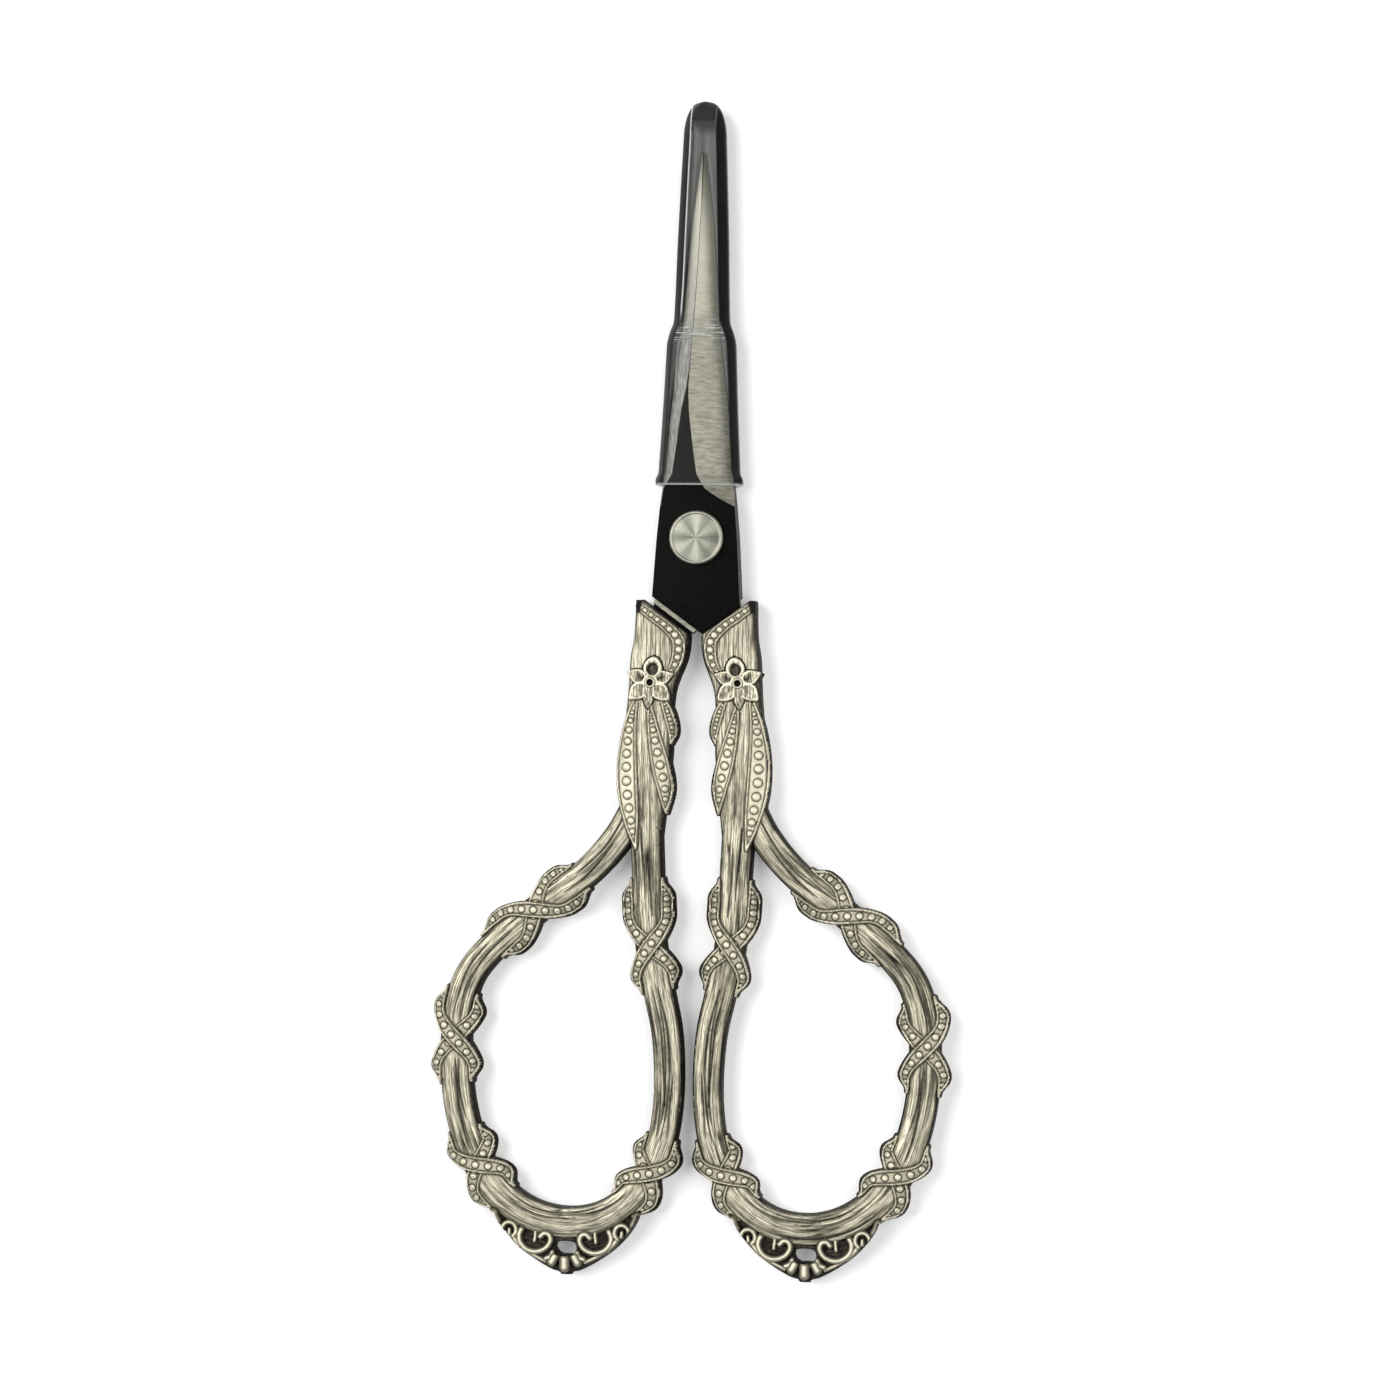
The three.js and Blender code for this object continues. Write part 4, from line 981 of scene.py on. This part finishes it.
# The darkness marks carry painted shade at the edges and on the walls as well as the darkening in hollows
# and grain.
oxide_and_shade = reckon(tree, "MULTIPLY_ADD", streak, -0.6, tarnish)
dark = mapped(tree, reckon(tree, "MULTIPLY_ADD", cloud, 0.45, oxide_and_shade), 0.02, 0.85, 0.0, 1.0)
set_inputs(tree, shader, {
    "Base Color": between(tree, dark, silver, OXIDE),
    "Roughness": mapped(tree, dark, 0.0, 1.0, 0.55, 0.68),
    "Metallic": 0.65,
    "Specular IOR Level": 0.2,
    "Normal": bumped(tree, streak, 0.5, 0.00006),
})

castings = {}
for seed, handle, facing, draft in ((11, "right", 1, 0.06), (47, "left", -1, -0.2)):
    cover, height, *marks = half_casting(seed, facing)
    castings[handle] = relief_mesh(cast_x, cast_y, cover, height, SEAM, marks, WALL_FLARE, draft)
for name, key, mirror, body, node in (
    ("right_handle_face", "right", (1, 1, 1), "upper_half", "right_handle_front"),
    ("right_handle_reverse", "left", (1, 1, -1), "upper_half", "right_handle_back"),
    ("left_handle_face", "left", (-1, 1, 1), "lower_half", "left_handle_front"),
    ("left_handle_reverse", "right", (-1, 1, -1), "lower_half", "left_handle_back"),
):
    cast_piece(name, castings[key], np.array(mirror), antique_silver, body, node)


# Flowers: one small cast flower on each face of each handle, set in a seat of the casting. A hollow rivet
# runs from flower to flower through the tang, and its rolled ends are the flowers' eyes.
FLOWER_CELL = 0.06
FLOWER_FLOOR = 1.45
FLOWER_EYE = 0.66
RIVET_PROFILE = [
    (0, -1.55), (0.3, -1.55), (0.33, -2.05), (0.4, -2.14), (0.5, -2.15), (0.6, -2.08), (0.62, -1.95),
    (0.62, 1.95), (0.6, 2.08), (0.5, 2.15), (0.4, 2.14), (0.33, 2.05), (0.3, 1.55), (0, 1.55),
]
RIVET_HOLLOW = 0.36


def flower_relief():
    """A flower at its place on the right handle: a cupped petal, four open ones and two leaves below."""
    xs, ys = np.arange(-3.1, 3.1, FLOWER_CELL), np.arange(-3.3, 3.3, FLOWER_CELL)
    x, y = np.meshgrid(xs, ys)
    height, rim = np.full(x.shape, 1.5), np.zeros(x.shape)
    for number, petal in enumerate(PETALS):
        a, b, r = petal_place(x, y, petal)
        if number == 0:
            cup = np.hypot((a + 0.2) / 0.62, b / 0.58)
            leaf = 1.6 + 0.53 * ramp(0.75, 1.08, cup) + 0.1 * ramp(0.2, 1.0, -a) * (cup < 1)
        elif number in (1, 2):
            fold = np.exp(-(b / 0.3) ** 2) * ramp(0.75, -0.5, a)
            leaf = 1.98 + 0.1 * a - 0.26 * fold + 0.05 * np.cos(7 * b) * ramp(-0.2, 0.8, a)
        elif number in (3, 4):
            leaf = 2.0 + 0.05 * a + 0.06 * np.sin(5.5 * b + 0.8 * number) * ramp(-0.5, 0.6, a)
            leaf = leaf - 0.12 * np.exp(-((b - 0.1) / 0.2) ** 2) * ramp(0.5, -0.6, a)
        elif number == 5:
            leaf = 2.1 - 0.18 * r ** 2
        else:
            leaf = 2.08 - 0.2 * r ** 2 - 0.1 * np.exp(-(b / 0.16) ** 2)
        leaf = leaf - 0.34 * ramp(0.82, 1.03, r)
        on_top = (r < 1.03) & (leaf > height)
        rim = np.where(on_top, ramp(0.62, 0.88, r), rim)
        height = np.where(on_top, leaf, height)
    eye = np.hypot(x, y)
    height = np.where(eye < 1.0, np.maximum(height, 1.93 - 0.5 * ramp(0.8, 1.0, eye)), height)
    cover = np.minimum(flower_cover(x, y), eye - FLOWER_EYE)
    sunk = ramp(0.0, 0.16, sunk_below(height, cover, 0.22, FLOWER_CELL))
    hollow = np.maximum(sunk, 0.8 * ramp(1.85, 1.62, height))
    marks = [np.clip(0.08 - 0.45 * rim + 0.85 * hollow, -0.4, 0.85), 2 * y, 0.4 * x]
    points, *rest = relief_mesh(xs, ys, cover, np.minimum(height, TOP_LIMIT), FLOWER_FLOOR, marks, 0.0)
    return (points + [*RIVET_AT, 0], *rest)


flower_made = flower_relief()
rivet_points, rivet_faces = turned(RIVET_PROFILE, 40, False)
from_eye = np.hypot(rivet_points[:, 0], rivet_points[:, 1])
for handle, side_x, body in (("right", 1, "upper_half"), ("left", -1, "lower_half")):
    for face, side_z in (("front", 1), ("back", -1)):
        node = f"{handle}_flower_{face}"
        cast_piece(f"{node}_cast", flower_made, np.array([side_x, 1, side_z]), antique_silver, body, node)
    turned_faces = [f[::-1] for f in rivet_faces] if side_x < 0 else rivet_faces
    rivet_place = (rivet_points + [*RIVET_AT, 0]) * [side_x, 1, 1]
    rivet = lay_in_frame(f"{handle}_rivet_hollow", rivet_place, turned_faces)
    mark_points(rivet, tarnish=from_eye < RIVET_HOLLOW, along=from_eye * 4, across=from_eye * 2)
    soften(rivet, 60)
    rivet.data.materials.append(antique_silver)
    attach(rivet, body)
    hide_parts(f"{handle}_tang_rivet")


# Blade guard: a soft vinyl sleeve moulded in one, clear on its flat faces, with painted shade on its side
# walls, beside the blade and on its nose, and painted highlights at its mouth, its step and its fold. It is
# pushed over the closed blades and holds by its own spring.
GUARD_HALF_THICKNESS = 2.18
GUARD_WALL = 0.55
GUARD_END = 48.35
CAVITY_END = 45.2
MOUTH_LIP = 0.12
LIP_END = 7.3
# Reach from the pivot and outer half width there.
GUARD_OUTER = [
    (5.8, 4.81), (6.6, 4.8), (7.1, 4.55), (8.5, 4.44), (15.6, 4.07), (20.6, 3.86), (21.6, 3.8), (22.8, 3.5),
    (23.8, 3.14), (26.2, 3.0), (32, 2.84), (37.3, 2.65), (44.1, 2.37),
]
# Reach from the pivot and width of the bevel there.
GUARD_BEVELS = [(5.8, 0.7), (20, 0.75), (23.5, 0.85), (30, 0.95), (44.1, 0.9)]
GUARD_MOUTH = GUARD_OUTER[0][0]
GUARD_NOSE, NOSE_HALF_WIDTH = GUARD_OUTER[-1]
# Where the painted highlights and the painted shade change along the frame's y, in metres.
MOUTH_LIGHT = (0.0222, 0.02195)
STEP_AT = 0.0389
FOLD_LIGHT = (0.0398, 0.0412)
CAP_SHADE = (0.0608, 0.0622)
# Colours of the painted shade on the walls, of the clear face and the dark nose, and of the painted
# highlights.
VINYL_DARK = (0.002, 0.0025, 0.0025, 1)
VINYL_HAZED = (0.009, 0.01, 0.009, 1)
VINYL_FACE = (0.15, 0.155, 0.14, 1)
VINYL_CAP = (0.02, 0.021, 0.019, 1)
VINYL_LIT = (0.75, 0.76, 0.74, 1)


def sleeve_loop(quarter, y):
    """One section of the sleeve, from the (x, z) points of its first quarter."""
    upper = quarter + [(-x, z) for x, z in quarter[::-1]]
    loop = upper + [(-x, -z) for x, z in upper]
    return np.array([(x, y, z) for x, z in loop[::-1]])


def outer_quarter(half, high, bevel):
    """A quarter of the sleeve's outside, with a bevel from its side up to its flat face."""
    k = high / GUARD_HALF_THICKNESS
    return [
        (half, 0.3 * k), (half - 0.02, 0.6 * k), (half - 0.12, 0.95 * k), (half - 0.9 * bevel, 1.93 * k),
        (half - 1.0 * bevel, 2.07 * k), (half - 1.14 * bevel, 2.15 * k), (half - 1.32 * bevel, 2.18 * k),
    ]


def inner_quarter(half, high):
    """A quarter of the sleeve's inside, with a rounded corner."""
    return [
        (half, 0.4), (half, high - 0.55), (half - 0.03, high - 0.36), (half - 0.12, high - 0.18),
        (half - 0.26, high - 0.06), (half - 0.42, high - 0.01), (half - 0.6, high),
    ]


guard_half = eased(GUARD_OUTER)
guard_bevel = eased(GUARD_BEVELS)
guard_rows = np.r_[
    GUARD_MOUTH, 5.95, np.linspace(6.2, 9, 12), np.linspace(9.5, 20, 16), np.linspace(20.5, 26.5, 26),
    np.linspace(27, GUARD_NOSE, 24),
]
outer_loops, inner_loops = [], []
for y in guard_rows:
    lip = MOUTH_LIP if y == GUARD_MOUTH else 0.0
    half, bevel = float(guard_half(y)), float(guard_bevel(y))
    outer_loops.append(sleeve_loop(outer_quarter(half - lip, GUARD_HALF_THICKNESS - lip, bevel), y))
    inner = float(guard_half(max(y, LIP_END))) - GUARD_WALL
    inner_loops.append(sleeve_loop(inner_quarter(inner, GUARD_HALF_THICKNESS - GUARD_WALL), y))
for turn in np.radians(np.linspace(8, 88, 12)):
    y = GUARD_NOSE + (GUARD_END - GUARD_NOSE) * math.sin(turn)
    half, high = NOSE_HALF_WIDTH * math.cos(turn) ** 0.7, GUARD_HALF_THICKNESS * math.cos(turn) ** 0.6
    outer_loops.append(sleeve_loop(outer_quarter(half, high, 0.9 * min(1.0, half / 1.3)), y))
inner_loops.append(sleeve_loop(inner_quarter(1.5, 1.2), CAVITY_END))
outer_points, outer_faces = skinned(outer_loops)
inner_points, inner_faces = skinned(inner_loops)
# The mouth is open, so both skins lose the cap at that end.
for open_skin in (outer_faces, inner_faces):
    del open_skin[-2]
shift, loop_count = len(outer_points), len(outer_loops[0])
faces = outer_faces + [tuple(k + shift for k in f[::-1]) for f in inner_faces]
for j in range(loop_count):
    k = (j + 1) % loop_count
    faces.append((k, j, j + shift, k + shift))
guard_points = np.vstack([outer_points, inner_points])
guard = lay_in_frame("blade_guard_sleeve", guard_points, faces)
reach = guard_points[:, 1]
row = np.clip(reach, GUARD_MOUTH, GUARD_NOSE)
blade_inside = np.where(reach < BLADE_REACH, blade_half(np.clip(reach, BEVEL_TAIL, BLADE_REACH)), 0.0)
mark_points(guard, flat=guard_half(row) - 1.1 * guard_bevel(row), blade=blade_inside)
soften(guard, 50)

clear_vinyl, tree, shader = new_finish("clear_vinyl")
flat_half, blade_there = read_marks(tree, "flat", "blade")
x, y, _ = split(tree, place_on(tree))
aside = reckon(tree, "MULTIPLY", reckon(tree, "ABSOLUTE", x), 1000.0)
haze = noise(tree, stretched(tree, (500, 90, 500)), 4.0)
past_flat = reckon(tree, "SUBTRACT", aside, flat_half)
past_blade = reckon(tree, "SUBTRACT", aside, blade_there)
# Painted shade: the side walls, the face beside the blade and the nose are painted dark and made less clear.
wall_shade = mapped(tree, past_flat, -0.05, 0.15, 0.0, 0.96)
beside_shade = mapped(tree, past_blade, 0.0, 0.3, 0.01, 0.26)
cap_shade = mapped(tree, y, *CAP_SHADE, 0.0, 0.95)
shade_and_highlight = reckon(tree, "MAXIMUM", reckon(tree, "MAXIMUM", wall_shade, beside_shade), cap_shade)
# Painted highlights: a bright line across the mouth, streaks at the step and a line chiefly along the left
# fold, all made light and less clear.
mouth = mapped(tree, y, *MOUTH_LIGHT, 0.0, 0.75)
step_near = reckon(tree, "ABSOLUTE", reckon(tree, "SUBTRACT", y, STEP_AT))
step_glint = mapped(tree, noise(tree, stretched(tree, (110, 1500, 110)), 3.0), 0.5, 0.66, 0.0, 1.0)
step_highlight = reckon(tree, "MULTIPLY", mapped(tree, step_near, 0.0004, 0.0022, 0.7, 0.0), step_glint)
step_highlight = reckon(tree, "MULTIPLY", step_highlight, mapped(tree, past_flat, -0.1, 0.05, 1.0, 0.0))
fold = mapped(tree, reckon(tree, "ABSOLUTE", past_flat), 0.03, 0.11, 0.8, 0.0)
fold = reckon(tree, "MULTIPLY", fold, mapped(tree, x, -0.0005, 0.0005, 1.0, 0.12))
fold = reckon(tree, "MULTIPLY", fold, mapped(tree, y, *FOLD_LIGHT, 0.0, 1.0))
lit_edge = reckon(tree, "MAXIMUM", reckon(tree, "MAXIMUM", mouth, step_highlight), fold)
shade_and_highlight = reckon(tree, "MAXIMUM", shade_and_highlight, lit_edge)
pale = mapped(tree, past_flat, -0.1, 0.1, 1.0, 0.0)
face_vinyl = between(tree, cap_shade, VINYL_FACE, VINYL_CAP)
vinyl = between(tree, pale, between(tree, haze, VINYL_DARK, VINYL_HAZED), face_vinyl)
set_inputs(tree, shader, {
    "Base Color": between(tree, lit_edge, vinyl, VINYL_LIT),
    "Alpha": reckon(tree, "MULTIPLY_ADD", haze, 0.08, shade_and_highlight, use_clamp=True),
    "Roughness": mapped(tree, haze, 0.3, 0.7, 0.05, 0.14),
    "Specular IOR Level": 0.02,
})
guard.data.materials.append(clear_vinyl)
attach(guard, "guard")
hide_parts("blade_guard")


# Table, light and camera: a plain white table, soft lamps above it, and a camera almost straight overhead,
# a little to the right of the scissors.
TABLE_HALF = 3
TABLE_TOP = -0.00005
table_mesh = bpy.data.meshes.new("table")
table_corners = [(TABLE_HALF * x, TABLE_HALF * y, 0) for x, y in ((-1, -1), (1, -1), (1, 1), (-1, 1))]
table_mesh.from_pydata(table_corners, [], [(0, 1, 2, 3)])
table = bpy.data.objects.new("table", table_mesh)
table.location.z = TABLE_TOP
bpy.context.scene.collection.objects.link(table)
white_table, tree, shader = new_finish("white_table")
ray = add_node(tree, "LightPath", {}).outputs
seen = reckon(tree, "MAXIMUM", ray["Is Camera Ray"], ray["Is Glossy Ray"])
seen = reckon(tree, "MAXIMUM", seen, ray["Is Transmission Ray"])
set_inputs(tree, shader, {
    "Base Color": (0.9, 0.9, 0.9, 1),
    "Roughness": 0.9,
    "Specular IOR Level": 0.1,
    "Emission Color": (1, 1, 1, 1),
    "Emission Strength": reckon(tree, "MULTIPLY", seen, 0.16),
})
table_mesh.materials.append(white_table)

world = bpy.data.worlds.new("studio")
bpy.context.scene.world = world
world.use_nodes = True
background = world.node_tree.nodes["Background"]
set_inputs(world.node_tree, background, {"Color": (0.95, 0.97, 1.0, 1), "Strength": 0.32})


def soft_lamp(name, size, power, place):
    """A round lamp that shines on the middle of the part."""
    data = bpy.data.lights.new(name, "AREA")
    data.shape, data.size, data.energy = "DISK", size, power
    lamp = bpy.data.objects.new(name, data)
    lamp.location = place
    x, y, z = place
    lamp.rotation_euler = (math.atan2(math.hypot(x, y), z), 0, math.atan2(-x, y) + math.pi)
    bpy.context.scene.collection.objects.link(lamp)


soft_lamp("key_lamp", 0.5, 3.7, (-0.32, 0.12, 0.55))
soft_lamp("fill_lamp", 0.55, 2.4, (0.36, 0.0, 0.55))

CAMERA_TARGET = np.array([-0.87, -0.3, 2.2]) * 0.001
CAMERA_DISTANCE = 0.43
CAMERA_VIEW_WIDTH = 0.1513
CAMERA_LEAN_RIGHT = math.radians(8)
CAMERA_LEAN_DOWN = math.radians(2)
CAMERA_ROLL = math.radians(1.0)
camera_data = bpy.data.cameras.new("camera")
camera_data.sensor_width = 36
camera_data.lens = camera_data.sensor_width * CAMERA_DISTANCE / CAMERA_VIEW_WIDTH
camera = bpy.data.objects.new("camera", camera_data)
back = np.array([
    math.sin(CAMERA_LEAN_RIGHT) * math.cos(CAMERA_LEAN_DOWN), -math.sin(CAMERA_LEAN_DOWN),
    math.cos(CAMERA_LEAN_RIGHT) * math.cos(CAMERA_LEAN_DOWN),
])
right = np.cross([0, 1, 0], back)
right /= np.linalg.norm(right)
up = np.cross(back, right)
c, s = math.cos(CAMERA_ROLL), math.sin(CAMERA_ROLL)
right, up = right * c + up * s, up * c - right * s
stand = CAMERA_TARGET + CAMERA_DISTANCE * back
camera.matrix_world = Matrix([*np.column_stack([right, up, back, stand]).tolist(), [0, 0, 0, 1]])
bpy.context.scene.collection.objects.link(camera)
bpy.context.scene.camera = camera
bpy.context.scene.view_settings.view_transform = "Standard"
